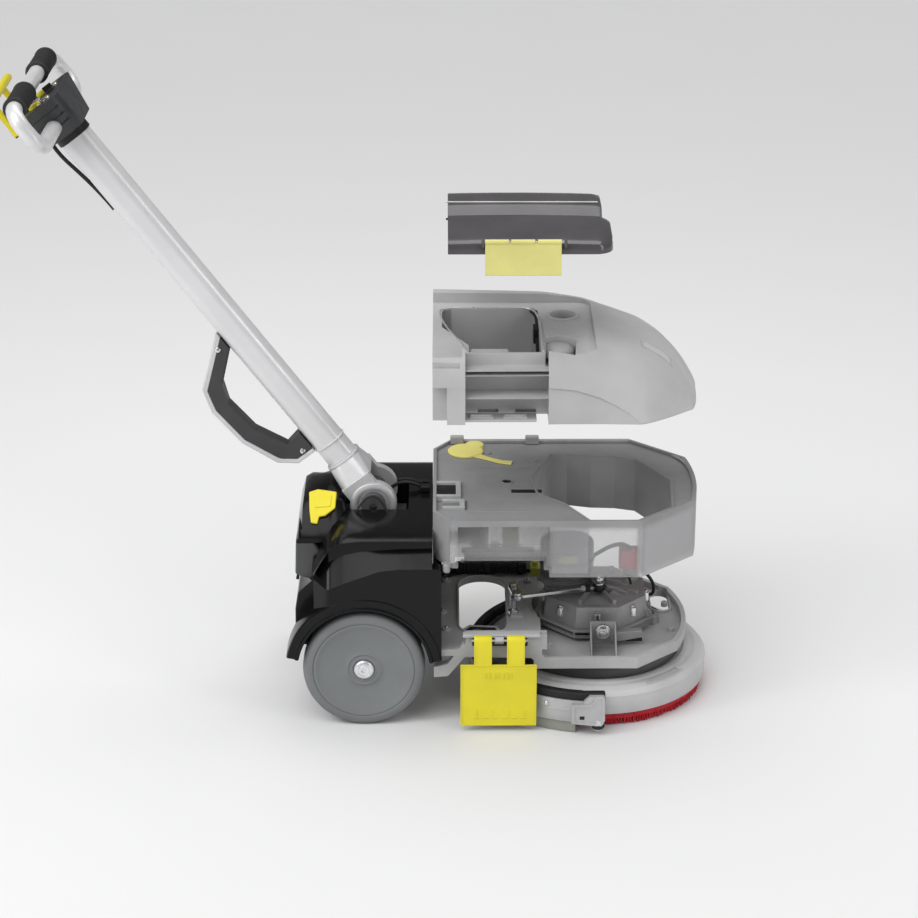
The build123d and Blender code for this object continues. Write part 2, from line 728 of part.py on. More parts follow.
def octagon(radius):
    """Eight-sided outline of the casting."""
    with BuildSketch() as outline:
        with Locations(HEAD_CENTRE):
            RegularPolygon(radius, 8, rotation=CASE_TILT)
    return outline.sketch


with BuildPart() as gear_case:
    with BuildSketch(Plane.XY.offset(CASE_BOTTOM + 6)):
        add(octagon(CASE_R))
    extrude(amount=9)
    with BuildSketch(Plane.XY.offset(CASE_BOTTOM + 15)):
        add(octagon(UPPER_TIER_R))
    extrude(amount=CASE_TOP - CASE_BOTTOM - 15, taper=6)
    with BuildSketch(Plane.XY.offset(CASE_BOTTOM + 6)):
        add(octagon(UPPER_TIER_R - 12))
    extrude(amount=CASE_TOP - 8 - CASE_BOTTOM - 6, mode=Mode.SUBTRACT)
    # ribs and bosses cast on top
    with BuildSketch(Plane.XY.offset(CASE_TOP)):
        with Locations(HEAD_CENTRE):
            for rib_angle in (-112, -68, -24, 20, 64, 108, 152):
                with Locations((44 * cos(radians(rib_angle)), 44 * sin(radians(rib_angle)))):
                    Rectangle(72, 6, rotation=rib_angle)
        with Locations((MOTOR_X, MOTOR_Y)):
            Circle(MOTOR_R + 4, mode=Mode.SUBTRACT)
    extrude(amount=8)
    # diagonal brace that runs down to the front of the base
    with BuildSketch(Plane.XZ.offset(34)):
        with BuildLine():
            Polyline((418, CASE_TOP), (430, CASE_TOP + 12), (486, 150), (496, 135), (468, 135), (452, 150),
                     close=True)
        make_face()
    extrude(amount=9)
    # pedestal of the connector
    with Locations((468, 40, (CASE_TOP + 196) / 2)):
        Box(24, 22, 196 - CASE_TOP)
    # bore of the swivel's crank shaft
    with BuildSketch(Plane.XY.offset(CASE_TOP - 8)):
        with Locations(HEAD_CENTRE):
            Circle(CRANK_SHAFT_R + RUN)
    extrude(amount=16, mode=Mode.SUBTRACT)
    # seat of the motor
    with BuildSketch(Plane.XY.offset(CASE_TOP - 8)):
        with Locations((MOTOR_X, MOTOR_Y)):
            Circle(18)
    extrude(amount=8, mode=Mode.SUBTRACT)
gear_case.part.label = "gear_case"
export_step(gear_case.part, "parts/gear_case.step")

with BuildPart() as head_neck:
    with BuildSketch(Plane.XY.offset(CASE_BOTTOM)):
        add(octagon(CASE_R - 2))
    extrude(amount=6)
    with BuildSketch(Plane.XY.offset(102)):
        with Locations(HEAD_CENTRE):
            Circle(NECK_R)
    extrude(amount=CASE_BOTTOM - 102)
    with BuildSketch(Plane.XY.offset(102)):
        with Locations(HEAD_CENTRE):
            Circle(NECK_BORE_R)
    extrude(amount=24, mode=Mode.SUBTRACT)
head_neck.part.label = "head_neck"
export_step(head_neck.part, "parts/head_neck.step")

with BuildPart() as swivel_bush:
    with BuildSketch(Plane.XY.offset(104)):
        with Locations(HEAD_CENTRE):
            Circle(NECK_BORE_R)
            Circle(TUBE_OUT + RUN, mode=Mode.SUBTRACT)
    extrude(amount=20)
swivel_bush.part.label = "swivel_bush"
export_step(swivel_bush.part, "parts/swivel_bush.step")

with BuildPart() as swivel_tube:
    with BuildSketch(Plane.XY.offset(72)):
        with Locations(HEAD_CENTRE):
            Circle(TUBE_OUT)
            Circle(TUBE_IN, mode=Mode.SUBTRACT)
    extrude(amount=TUBE_TOP - 72)
    with BuildSketch(Plane.XY.offset(TUBE_TOP - 4)):
        with Locations(HEAD_CENTRE):
            Circle(TUBE_OUT)
    extrude(amount=4)
    # window that the drive belt passes through
    with BuildSketch(Plane.XY.offset(PULLEY_BOTTOM - 3)):
        with BuildLine():
            from_angle = BELT_DIRECTION - 180 + TUBE_WALL_HALF_ANGLE
            window = CenterArc(HEAD_CENTRE, TUBE_OUT + 4, from_angle, 360 - 2 * TUBE_WALL_HALF_ANGLE)
            Line(HEAD_CENTRE, window @ 0)
            Line(HEAD_CENTRE, window @ 1)
        make_face()
    extrude(amount=PULLEY_TOP - PULLEY_BOTTOM + 6, mode=Mode.SUBTRACT)
    # crank plate with the pin of the steering link
    with BuildSketch(Plane.XY.offset(TUBE_TOP)):
        with Locations(HEAD_CENTRE):
            Circle(CRANK_SHAFT_R)
    extrude(amount=LINK_TOP + 1 - TUBE_TOP)
    with BuildSketch(Plane.XY.offset(LINK_TOP + 1)):
        add(bar_between(HEAD_CENTRE, HEAD_PIN, 9))
    extrude(amount=5)
    with BuildSketch(Plane.XY.offset(CASE_TOP + 9)):
        with Locations(HEAD_PIN):
            Circle(LINK_PIN_R)
    extrude(amount=LINK_TOP + 1 - CASE_TOP - 9)
swivel_tube.part.label = "swivel_tube"
export_step(swivel_tube.part, "parts/swivel_tube.step")

with BuildPart() as brush_bearing:
    with BuildSketch(Plane.XY.offset(100)):
        with Locations(HEAD_CENTRE):
            Circle(TUBE_IN)
            Circle(SHAFT_R + RUN, mode=Mode.SUBTRACT)
    extrude(amount=20)
brush_bearing.part.label = "brush_bearing"
export_step(brush_bearing.part, "parts/brush_bearing.step")

with BuildPart() as swivel_drum:
    with BuildSketch(Plane.XZ):
        with BuildLine():
            Polyline((HEAD_X + TUBE_OUT, 100), (HEAD_X + 134, 100), (HEAD_X + 150, 88),
                     (HEAD_X + 152, RING_TOP),
                     (HEAD_X + 140, RING_TOP), (HEAD_X + 130, 92), (HEAD_X + TUBE_OUT, 92), close=True)
        make_face()
    revolve(axis=Axis((HEAD_X, 0, 0), (0, 0, 1)))
swivel_drum.part.label = "swivel_drum"
export_step(swivel_drum.part, "parts/swivel_drum.step")

with BuildPart() as shroud_ring:
    with BuildSketch(Plane.XZ):
        with BuildLine():
            Polyline((HEAD_X + 120, RING_TOP), (HEAD_X + 178, RING_TOP), (HEAD_X + 190, 66),
                     (HEAD_X + RING_R, 58), (HEAD_X + RING_R, RING_BOTTOM),
                     (HEAD_X + RING_R - 4, RING_BOTTOM),
                     (HEAD_X + RING_R - 4, 56), (HEAD_X + 186, 62), (HEAD_X + 120, 64), close=True)
        make_face()
    revolve(axis=Axis((HEAD_X, 0, 0), (0, 0, 1)))
    # stepped pocket on the front near shoulder
    with BuildSketch(Plane.XY.offset(66.5)):
        with BuildLine():
            outer = CenterArc(HEAD_CENTRE, 184, -62, 24)
            inner = CenterArc(HEAD_CENTRE, 170, -62, 24)
            Line(outer @ 0, inner @ 0)
            Line(outer @ 1, inner @ 1)
        make_face()
    extrude(amount=6, mode=Mode.SUBTRACT)
shroud_ring.part.label = "shroud_ring"
export_step(shroud_ring.part, "parts/shroud_ring.step")

with BuildPart() as drive_motor:
    with BuildSketch(Plane.XY.offset(CASE_TOP)):
        with Locations((MOTOR_X, MOTOR_Y)):
            Circle(MOTOR_R + 1)
    extrude(amount=9)
    with BuildSketch(Plane.XY.offset(CASE_TOP + 9)):
        with Locations((MOTOR_X, MOTOR_Y)):
            Circle(MOTOR_R)
    extrude(amount=MOTOR_TOP - CASE_TOP - 9)
    fillet(drive_motor.faces().sort_by(Axis.Z)[-1].edges(), radius=5)
    with BuildSketch(Plane.XY.offset(CASE_TOP)):
        with Locations((MOTOR_X, MOTOR_Y)):
            Circle(5 + RUN)
    extrude(amount=50, mode=Mode.SUBTRACT)
drive_motor.part.label = "drive_motor"
export_step(drive_motor.part, "parts/drive_motor.step")

with BuildPart() as motor_connector:
    with Locations((468, 40, 213)):
        Box(46, 28, 34)
    chamfer(motor_connector.edges().filter_by(Axis.Z), length=3)
    with Locations((457, 40, 226), (479, 40, 226)):
        Box(14, 18, 10, mode=Mode.SUBTRACT)
motor_connector.part.label = "motor_connector"
export_step(motor_connector.part, "parts/motor_connector.step")

with BuildPart() as motor_pulley:
    with BuildSketch(Plane.XY.offset(PULLEY_BOTTOM)):
        with Locations((MOTOR_X, MOTOR_Y)):
            Circle(SMALL_PULLEY_R)
    extrude(amount=PULLEY_TOP - PULLEY_BOTTOM)
    with BuildSketch(Plane.XY.offset(PULLEY_TOP)):
        with Locations((MOTOR_X, MOTOR_Y)):
            Circle(5)
    extrude(amount=60)
motor_pulley.part.label = "motor_pulley"
export_step(motor_pulley.part, "parts/motor_pulley.step")

with BuildPart() as drive_belt:
    with BuildSketch(Plane.XY.offset(PULLEY_BOTTOM + 3)):
        with Locations(HEAD_CENTRE):
            Circle(BIG_PULLEY_R + BELT_GAP + BELT)
        with Locations((MOTOR_X, MOTOR_Y)):
            Circle(SMALL_PULLEY_R + BELT_GAP + BELT)
        make_hull()
        with Locations(HEAD_CENTRE):
            Circle(BIG_PULLEY_R + BELT_GAP, mode=Mode.SUBTRACT)
        with Locations((MOTOR_X, MOTOR_Y)):
            Circle(SMALL_PULLEY_R + BELT_GAP, mode=Mode.SUBTRACT)
        with BuildSketch(mode=Mode.SUBTRACT):
            with Locations(HEAD_CENTRE):
                Circle(BIG_PULLEY_R + BELT_GAP)
            with Locations((MOTOR_X, MOTOR_Y)):
                Circle(SMALL_PULLEY_R + BELT_GAP)
            make_hull()
    extrude(amount=PULLEY_TOP - PULLEY_BOTTOM - 6)
drive_belt.part.label = "drive_belt"
export_step(drive_belt.part, "parts/drive_belt.step")

BRUSH_R = 186
BRUSH_PLATE_BOTTOM, BRUSH_PLATE_TOP = 30, 42

with BuildPart() as brush_drive:
    with BuildSketch(Plane.XY.offset(PULLEY_BOTTOM)):
        with Locations(HEAD_CENTRE):
            Circle(BIG_PULLEY_R)
    extrude(amount=PULLEY_TOP - PULLEY_BOTTOM)
    with BuildSketch(Plane.XY.offset(PULLEY_TOP)):
        with Locations(HEAD_CENTRE):
            Circle(SHAFT_R)
    extrude(amount=4)
    with BuildSketch(Plane.XY.offset(BRUSH_PLATE_TOP)):
        with Locations(HEAD_CENTRE):
            Circle(SHAFT_R)
    extrude(amount=PULLEY_BOTTOM - BRUSH_PLATE_TOP)
    with BuildSketch(Plane.XY.offset(BRUSH_PLATE_TOP)):
        with Locations(HEAD_CENTRE):
            Circle(48)
    extrude(amount=14)
brush_drive.part.label = "brush_drive"
export_step(brush_drive.part, "parts/brush_drive.step")

with BuildPart() as brush_plate:
    with BuildSketch(Plane.XY.offset(BRUSH_PLATE_BOTTOM)):
        with Locations(HEAD_CENTRE):
            Circle(BRUSH_R - 4)
            Circle(22, mode=Mode.SUBTRACT)
    extrude(amount=BRUSH_PLATE_TOP - BRUSH_PLATE_BOTTOM)
brush_plate.part.label = "brush_plate"
export_step(brush_plate.part, "parts/brush_plate.step")

with BuildPart() as brush_bristles:
    with BuildSketch(Plane.XY.offset(1)):
        with Locations(HEAD_CENTRE):
            Circle(BRUSH_R + 2)
            Circle(90, mode=Mode.SUBTRACT)
    extrude(amount=BRUSH_PLATE_BOTTOM - 1)
brush_bristles.part.label = "brush_bristles"
export_step(brush_bristles.part, "parts/brush_bristles.step")


def rear_arc(inner, outer, start=92, sweep_angle=176):
    """Ring segment behind the head, seen from above."""
    with BuildSketch() as outline:
        with BuildLine():
            outside = CenterArc(HEAD_CENTRE, outer, start, sweep_angle)
            inside = CenterArc(HEAD_CENTRE, inner, start, sweep_angle)
            Line(outside @ 0, inside @ 0)
            Line(outside @ 1, inside @ 1)
        make_face()
    return outline.sketch


ROLLER_X = HEAD_X - 3

with BuildPart() as squeegee_bar:
    with BuildSketch(Plane.XY.offset(22)):
        add(rear_arc(SQUEEGEE_IN, SQUEEGEE_OUT))
    extrude(amount=40)
    with BuildSketch(Plane.XY.offset(22)):
        add(rear_arc(SQUEEGEE_IN + 4, SQUEEGEE_OUT - 4, 94, 172))
    extrude(amount=34, mode=Mode.SUBTRACT)
    for side in BOTH_SIDES:
        with BuildSketch(Plane.XY.offset(22)):
            with Locations((HEAD_X - 11, side * 216)):
                Rectangle(34, 20)
        extrude(amount=52)
        chamfer(squeegee_bar.edges().filter_by(Axis.Y).filter_by(
            lambda edge: edge.center().Z > 73 and edge.center().X < HEAD_X - 20
            and edge.center().Y * side > 0), length=10)
        # pin and head that the end roller turns on
        with BuildSketch(Plane.XY.offset(11)):
            with Locations((ROLLER_X, side * 218)):
                Circle(4)
        extrude(amount=11)
        with BuildSketch(Plane.XY.offset(8.5)):
            with Locations((ROLLER_X, side * 218)):
                Circle(7)
        extrude(amount=3)
squeegee_bar.part.label = "squeegee_bar"
export_step(squeegee_bar.part, "parts/squeegee_bar.step")

with BuildPart() as squeegee_blades:
    with BuildSketch(Plane.XY.offset(1)):
        add(rear_arc(SQUEEGEE_IN + 4, SQUEEGEE_IN + 7.5, 101, 158))
        add(rear_arc(SQUEEGEE_OUT - 7.5, SQUEEGEE_OUT - 4, 101, 158))
    extrude(amount=44)
squeegee_blades.part.label = "squeegee_blades"
export_step(squeegee_blades.part, "parts/squeegee_blades.step")

with BuildPart() as squeegee_strap:
    with BuildSketch(Plane.XY.offset(62)):
        add(rear_arc(SQUEEGEE_IN - 3, SQUEEGEE_OUT - 4, 102, 156))
    extrude(amount=13)
squeegee_strap.part.label = "squeegee_strap"
export_step(squeegee_strap.part, "parts/squeegee_strap.step")

def end_roller(side):
    """Deflection roller on a stub at the end of the squeegee."""
    with BuildSketch(Plane.XY.offset(12)) as profile:
        with Locations((ROLLER_X, side * 218)):
            Circle(11)
            Circle(4 + RUN, mode=Mode.SUBTRACT)
    extrude(profile.sketch, amount=9.5)


with BuildPart() as roller_near:
    end_roller(-1)
roller_near.part.label = "roller_near"
export_step(roller_near.part, "parts/roller_near.step")

with BuildPart() as roller_far:
    end_roller(1)
roller_far.part.label = "roller_far"
export_step(roller_far.part, "parts/roller_far.step")

# =====================================================================
# Side flaps: the near one hangs open, the far one is closed upwards
# =====================================================================
FLAP_DROP = 42                # hinge to the panel's near end
FLAP_LENGTH = 114
FLAP_OFFSET = 6               # panel's inner face from the hinge axis
FLAP_THICK = 3


def side_flap(side, up):
    """Panel with two hinge tabs; up is -1 when it hangs open and 1 when closed."""
    outward = side if up < 0 else -side
    inner_y = side * FLAP_HINGE_Y + outward * FLAP_OFFSET
    panel_y = inner_y + outward * FLAP_THICK / 2
    with Locations(((FLAP_X0 + FLAP_X1) / 2, panel_y, FLAP_HINGE_Z + up * (FLAP_DROP + FLAP_LENGTH / 2))):
        Box(FLAP_X1 - FLAP_X0, FLAP_THICK, FLAP_LENGTH)
    for tab_x in (202, 257.5):
        with Locations((tab_x, panel_y, FLAP_HINGE_Z + up * FLAP_DROP / 2)):
            Box(30, FLAP_THICK, FLAP_DROP)
        with BuildSketch(Plane.YZ.offset(tab_x - 15)) as knuckle:
            with Locations((side * FLAP_HINGE_Y, FLAP_HINGE_Z)):
                Circle(FLAP_OFFSET + FLAP_THICK)
            with Locations((side * FLAP_HINGE_Y - outward * 8, FLAP_HINGE_Z)):
                Rectangle(8, 24, mode=Mode.SUBTRACT)
            with Locations((side * FLAP_HINGE_Y, FLAP_HINGE_Z)):
                Circle(2 + RUN, mode=Mode.SUBTRACT)
        extrude(knuckle.sketch, amount=30)


with BuildPart() as side_flap_near:
    side_flap(-1, -1)
side_flap_near.part.label = "side_flap_near"
export_step(side_flap_near.part, "parts/side_flap_near.step")

with BuildPart() as side_flap_far:
    side_flap(1, 1)
side_flap_far.part.label = "side_flap_far"
export_step(side_flap_far.part, "parts/side_flap_far.step")

# =====================================================================
# Fresh water tank
# =====================================================================
TANK_SHOULDER = (467, -HALF_WIDTH)
TANK_CORNER = (561, -98)
TANK_NOSE = 571
HEAD_WELL = [(326, 124), (355, 124), (396, 112), (439, 109), (474, 97), (526, 0), (520, -116),
             (456, -174), (384, -176), (341, -97), (299, -56), (289, 15)]


def tank_outline(inset):
    """Tank seen from above: chamfered rear corners and a faceted nose."""
    half = HALF_WIDTH - inset
    corner = (TANK_CORNER[0] - inset, 98 - 0.4 * inset)
    shoulder = (TANK_SHOULDER[0] - 0.4 * inset, half)
    with BuildSketch() as outline:
        with BuildLine():
            Polyline((TANK_REAR + inset, 0), (TANK_REAR + inset, 140), (150, half), shoulder, corner)
            ThreePointArc(corner, (TANK_NOSE - inset, 0), (corner[0], -corner[1]))
            Polyline((corner[0], -corner[1]), (shoulder[0], -half), (150, -half), (TANK_REAR + inset, -140),
                     (TANK_REAR + inset, 0))
        make_face()
    return outline.sketch


def head_well(grow):
    """Opening that the brush head and its motor turn in."""
    with BuildSketch() as outline:
        with BuildLine():
            Polyline(*HEAD_WELL, close=True)
        make_face()
        if grow:
            offset(amount=grow)
    return outline.sketch


REAR_UNDERSIDE = 295
LINK_POCKET_TOP = 354
HOSE_POCKET_TOP = 324
CAP_CENTRE = (175, 137)
FILLER_R = 12

with BuildPart() as tank_inside:
    with BuildSketch(Plane.XY.offset(TANK_BOTTOM + WALL)):
        add(tank_outline(WALL))
    extrude(amount=TANK_PANEL - WALL - TANK_BOTTOM - WALL)
    with BuildSketch(Plane.XY.offset(TANK_BOTTOM)):
        add(head_well(WALL + 3))
    extrude(amount=120, mode=Mode.SUBTRACT)
    with Locations((210, 0, (TANK_BOTTOM + REAR_UNDERSIDE + WALL) / 2)):
        Box(200, 400, REAR_UNDERSIDE + WALL - TANK_BOTTOM, mode=Mode.SUBTRACT)
    with Locations(((200 + 320) / 2, -44, (TANK_BOTTOM + LINK_POCKET_TOP + WALL) / 2)):
        Box(120, 104, LINK_POCKET_TOP + WALL - TANK_BOTTOM, mode=Mode.SUBTRACT)
    with Locations(((140 + 320) / 2, 130, (TANK_BOTTOM + HOSE_POCKET_TOP + WALL) / 2)):
        Box(180, 54, HOSE_POCKET_TOP + WALL - TANK_BOTTOM, mode=Mode.SUBTRACT)
    for side in BOTH_SIDES:
        with Locations(((155 + 318) / 2, side * 171, 330)):
            Box(163, 40, 120, mode=Mode.SUBTRACT)

with BuildPart() as fresh_tank:
    with BuildSketch(Plane.XY.offset(TANK_BOTTOM)):
        add(tank_outline(0))
    extrude(amount=TANK_TOP - TANK_BOTTOM)
    with BuildSketch(Plane.XY.offset(TANK_PANEL)):
        add(tank_outline(WALL + 1))
    extrude(amount=TANK_TOP - TANK_PANEL, mode=Mode.SUBTRACT)
    with BuildSketch(Plane.XY.offset(TANK_BOTTOM)):
        add(head_well(0))
    extrude(amount=TANK_TOP - TANK_BOTTOM, mode=Mode.SUBTRACT)
    # underside steps over the platform, the steering link and the hose
    with Locations((210, 0, (TANK_BOTTOM + REAR_UNDERSIDE) / 2)):
        Box(190, 400, REAR_UNDERSIDE - TANK_BOTTOM, mode=Mode.SUBTRACT)
    with Locations(((205 + 315) / 2, -44, (TANK_BOTTOM + LINK_POCKET_TOP) / 2)):
        Box(110, 92, LINK_POCKET_TOP - TANK_BOTTOM, mode=Mode.SUBTRACT)
    with Locations(((145 + 315) / 2, 130, (TANK_BOTTOM + HOSE_POCKET_TOP) / 2)):
        Box(170, 44, HOSE_POCKET_TOP - TANK_BOTTOM, mode=Mode.SUBTRACT)
    for side in BOTH_SIDES:
        with Locations(((160 + 313) / 2, side * 171, (TANK_BOTTOM + 370) / 2)):
            Box(153, 30.5, 370 - TANK_BOTTOM, mode=Mode.SUBTRACT)
    add(tank_inside.part, mode=Mode.SUBTRACT)
    # filler, vent hole, key slot and rear notches
    with BuildSketch(Plane.XY.offset(TANK_PANEL - WALL)):
        with Locations(CAP_CENTRE):
            Circle(FILLER_R)
        with Locations((245, -2)):
            Circle(8)
    extrude(amount=WALL + 5, mode=Mode.SUBTRACT)
    with Locations((278, -45, TANK_PANEL - 1.5)):
        Box(50, 9, 3, mode=Mode.SUBTRACT)
    with Locations((138, -41, TANK_PANEL + 1), (150, -104, TANK_PANEL + 1)):
        Box(52, 40, 7, mode=Mode.SUBTRACT)
fresh_tank.part.label = "fresh_tank"
export_step(fresh_tank.part, "parts/fresh_tank.step")

with BuildPart() as tank_cap:
    with BuildSketch(Plane.XY.offset(TANK_PANEL)):
        with Locations(CAP_CENTRE):
            Circle(31)
    extrude(amount=5)
    with BuildSketch(Plane.XY.offset(TANK_PANEL - 10)):
        with Locations(CAP_CENTRE):
            Circle(FILLER_R - 0.5)
            Circle(FILLER_R - 3, mode=Mode.SUBTRACT)
    extrude(amount=10)
    with BuildSketch(Plane.XY.offset(TANK_PANEL)):
        add(bar_between((200, 116), (236, 84), 7))
        add(bar_between((236, 84), (254, 82), 8))
        add(bar_between((165, 155), (182, 162), 12))
    extrude(amount=3)
tank_cap.part.label = "tank_cap"
export_step(tank_cap.part, "parts/tank_cap.step")

# =====================================================================
# Recovery tank
# =====================================================================
SHELL_SIDE_TOP = 664
CROWN = 680


def recovery_form(inset, bottom):
    """Rounded nose form of the recovery tank, as three crossed outlines."""
    half = HALF_WIDTH + 2 - inset
    rear = TANK_REAR + 0.5 + inset
    with BuildSketch(Plane.XZ) as side_view:
        with BuildLine():
            Polyline((374, CROWN - inset), (rear, CROWN - inset), (rear, bottom), (563 - inset, bottom))
            Spline((563 - inset, bottom), (558 - inset, 575), (540 - inset, 603), (512 - inset, 632),
                   (460 - inset / 2, 662 - inset), (374, CROWN - inset), tangents=((0.05, 1), (-1, 0.12)))
        make_face()
    extrude(side_view.sketch, amount=half, both=True)
    with BuildSketch(Plane.XY.offset(bottom)) as top_view:
        with BuildLine():
            Polyline((rear, 0), (rear, half), (430, half))
            Spline((430, half), (512 - inset, 138 - inset / 2), (563 - inset, 0),
                   tangents=((1, -0.1), (0, -1)))
            mirror(about=Plane.XZ)
        make_face()
    extrude(top_view.sketch, amount=CROWN - bottom, mode=Mode.INTERSECT)
    with BuildSketch(Plane.YZ.offset(rear)) as end_view:
        with BuildLine():
            top = SHELL_SIDE_TOP - inset
            Polyline((half - 10, top), (half, top - 12), (half, bottom), (-half, bottom), (-half, top - 12),
                     (-half + 10, top))
            ThreePointArc((-half + 10, top), (0, CROWN - inset), (half - 10, top))
        make_face()
    extrude(end_view.sketch, amount=460, mode=Mode.INTERSECT)


MOTOR_POCKET_TOP = 585

with BuildPart() as recovery_inside:
    recovery_form(WALL, SHELL_BOTTOM + WALL)
    with Locations((HEAD_X, 0, (SHELL_BOTTOM + MOTOR_POCKET_TOP + WALL) / 2)):
        Cylinder(113, MOTOR_POCKET_TOP + WALL - SHELL_BOTTOM, mode=Mode.SUBTRACT)
    with Locations((250, (SEAT_NEAR + SEAT_FAR) / 2, SEAT_Z - WALL + 25)):
        Box(2 * (SEAT_FRONT + WALL - 250), SEAT_FAR - SEAT_NEAR + 2 * WALL, 50, mode=Mode.SUBTRACT)
    for side in BOTH_SIDES:
        with Locations(((RECESS_X0 + RECESS_X1) / 2, side * (141 + 60), 630)):
            Box(RECESS_X1 - RECESS_X0 + 2 * WALL, 120, 200, mode=Mode.SUBTRACT)
        with Locations((110, side * (CORNER_STEP - WALL + 45), SHELL_CORNER + WALL - 60)):
            Box(70, 90, 120, mode=Mode.SUBTRACT)

with BuildPart() as recovery_tank:
    recovery_form(0, SHELL_BOTTOM)
    with Locations((HEAD_X, 0, (SHELL_BOTTOM + MOTOR_POCKET_TOP) / 2)):
        Cylinder(108, MOTOR_POCKET_TOP - SHELL_BOTTOM, mode=Mode.SUBTRACT)
    with Locations(((TANK_REAR - 40 + SEAT_FRONT) / 2, (SEAT_NEAR + SEAT_FAR) / 2, SEAT_Z + 25)):
        Box(SEAT_FRONT - TANK_REAR + 40, SEAT_FAR - SEAT_NEAR, 50, mode=Mode.SUBTRACT)
    for side in BOTH_SIDES:
        with Locations(((RECESS_X0 + RECESS_X1) / 2, side * (146 + 60), 630)):
            Box(RECESS_X1 - RECESS_X0, 120, 200, mode=Mode.SUBTRACT)
        with Locations((110, side * (CORNER_STEP + 45), SHELL_CORNER - 60)):
            Box(64, 90, 120, mode=Mode.SUBTRACT)
    add(recovery_inside.part, mode=Mode.SUBTRACT)
    # mouth of the tank, bottle hole and cup in the lid seat
    with BuildSketch(Plane.XY.offset(SEAT_Z - WALL)):
        with BuildLine():
            Polyline((134, 78), (297, 78), (297, -136), (178, -136), (178, -105), (134, -14), close=True)
        make_face()
        with Locations((339, 42)):
            Circle(22)
        with Locations((330, -76)):
            Circle(25)
        with Locations((330, -104)):
            RectangleRounded(48, 64, 8)
    extrude(amount=WALL, mode=Mode.SUBTRACT)
recovery_tank.part.label = "recovery_tank"
export_step(recovery_tank.part, "parts/recovery_tank.step")

# =====================================================================
# Lid
# =====================================================================


def lid_section(inset):
    """Cross-section of the lid: a low near part and a raised far part."""
    with BuildSketch() as outline:
        with BuildLine():
            near_y, far_y = LID_NEAR + inset, LID_FAR - inset
            Polyline((near_y, LID_BOTTOM), (near_y, 846 - inset), (near_y + 10, 850 - inset))
            ThreePointArc((near_y + 10, 850 - inset), (-70, 857 - inset), (-12, 858 - inset))
            Polyline((-12, 858 - inset), (-6, 853 - inset), (24, 865 - inset))
            ThreePointArc((24, 865 - inset), (64, 866 - inset), (far_y - 8, 862 - inset))
            Polyline((far_y - 8, 862 - inset), (far_y, 856 - inset), (far_y, LID_BOTTOM),
                     (near_y, LID_BOTTOM))
        make_face()
    return outline.sketch


LID_FLAP_Y = -146
LID_FLAP_Z = 852
LID_FLAP_X0, LID_FLAP_X1 = 204, 327

with BuildPart() as lid:
    with BuildSketch(Plane.YZ.offset(LID_REAR)):
        add(lid_section(0))
    extrude(amount=LID_FRONT - LID_REAR)
    fillet(lid.edges().filter_by(Axis.Z).filter_by(
        lambda edge: edge.center().X > LID_FRONT - 1 and not LID_NEAR + 1 < edge.center().Y < LID_FAR - 1),
           radius=26)
    with BuildSketch(Plane.YZ.offset(LID_REAR + 4)):
        add(lid_section(4))
    extrude(amount=LID_FRONT - LID_REAR - 30, mode=Mode.SUBTRACT)
    # hinge wire of the flap, held in two lugs
    with BuildSketch(Plane.YZ.offset(LID_FLAP_X0 - 6)):
        with Locations((LID_FLAP_Y, LID_FLAP_Z)):
            Circle(1.5)
    extrude(amount=LID_FLAP_X1 - LID_FLAP_X0 + 12)
    for end_x in (LID_FLAP_X0 - 6, LID_FLAP_X1 + 1):
        with BuildSketch(Plane.YZ.offset(end_x)):
            with BuildLine():
                Polyline((LID_NEAR, 838), (LID_FLAP_Y - 3, LID_FLAP_Z - 3), (LID_FLAP_Y - 3, LID_FLAP_Z + 3),
                         (LID_NEAR, 846), close=True)
            make_face()
        extrude(amount=5)
lid.part.label = "lid"
export_step(lid.part, "parts/lid.step")

with BuildPart() as lid_flap:
    with Locations(((LID_FLAP_X0 + LID_FLAP_X1) / 2, LID_FLAP_Y - 2.8, (796 + LID_FLAP_Z) / 2)):
        Box(LID_FLAP_X1 - LID_FLAP_X0, 2.4, LID_FLAP_Z - 796)
    with BuildSketch(Plane.YZ.offset(LID_FLAP_X0)):
        with Locations((LID_FLAP_Y, LID_FLAP_Z)):
            Circle(4)
            Circle(1.5 + RUN, mode=Mode.SUBTRACT)
    extrude(amount=LID_FLAP_X1 - LID_FLAP_X0)
lid_flap.part.label = "lid_flap"
export_step(lid_flap.part, "parts/lid_flap.step")
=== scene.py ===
"""Looks of the exploded walk-behind floor scrubber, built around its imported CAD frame.

Metres, in the CAD's own frame: X forward, Y to the far side, Z up, floor at zero.
"""
import json
import math
import random

import bmesh
import bpy
from mathutils import Matrix, Vector


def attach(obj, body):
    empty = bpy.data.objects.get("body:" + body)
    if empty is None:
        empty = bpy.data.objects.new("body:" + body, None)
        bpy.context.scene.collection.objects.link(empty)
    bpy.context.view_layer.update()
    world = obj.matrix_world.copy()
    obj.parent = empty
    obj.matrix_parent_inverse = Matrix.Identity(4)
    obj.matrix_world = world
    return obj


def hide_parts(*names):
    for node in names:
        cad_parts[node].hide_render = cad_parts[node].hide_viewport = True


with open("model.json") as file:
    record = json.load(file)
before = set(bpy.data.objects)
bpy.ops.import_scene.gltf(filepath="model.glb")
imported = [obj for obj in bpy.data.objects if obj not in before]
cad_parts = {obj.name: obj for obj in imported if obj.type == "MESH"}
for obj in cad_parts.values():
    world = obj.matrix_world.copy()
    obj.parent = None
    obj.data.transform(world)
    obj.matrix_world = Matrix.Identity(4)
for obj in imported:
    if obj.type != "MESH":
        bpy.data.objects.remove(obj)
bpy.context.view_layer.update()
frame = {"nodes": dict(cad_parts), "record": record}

MM = 0.001
nodes = frame["nodes"]
record = frame["record"]
SLOT_OF = {entry["node"]: entry["material_slot"] for entry in record["subparts"]}


def mm(x, y, z):
    """Point given in millimetres."""
    return Vector((x, y, z)) * MM


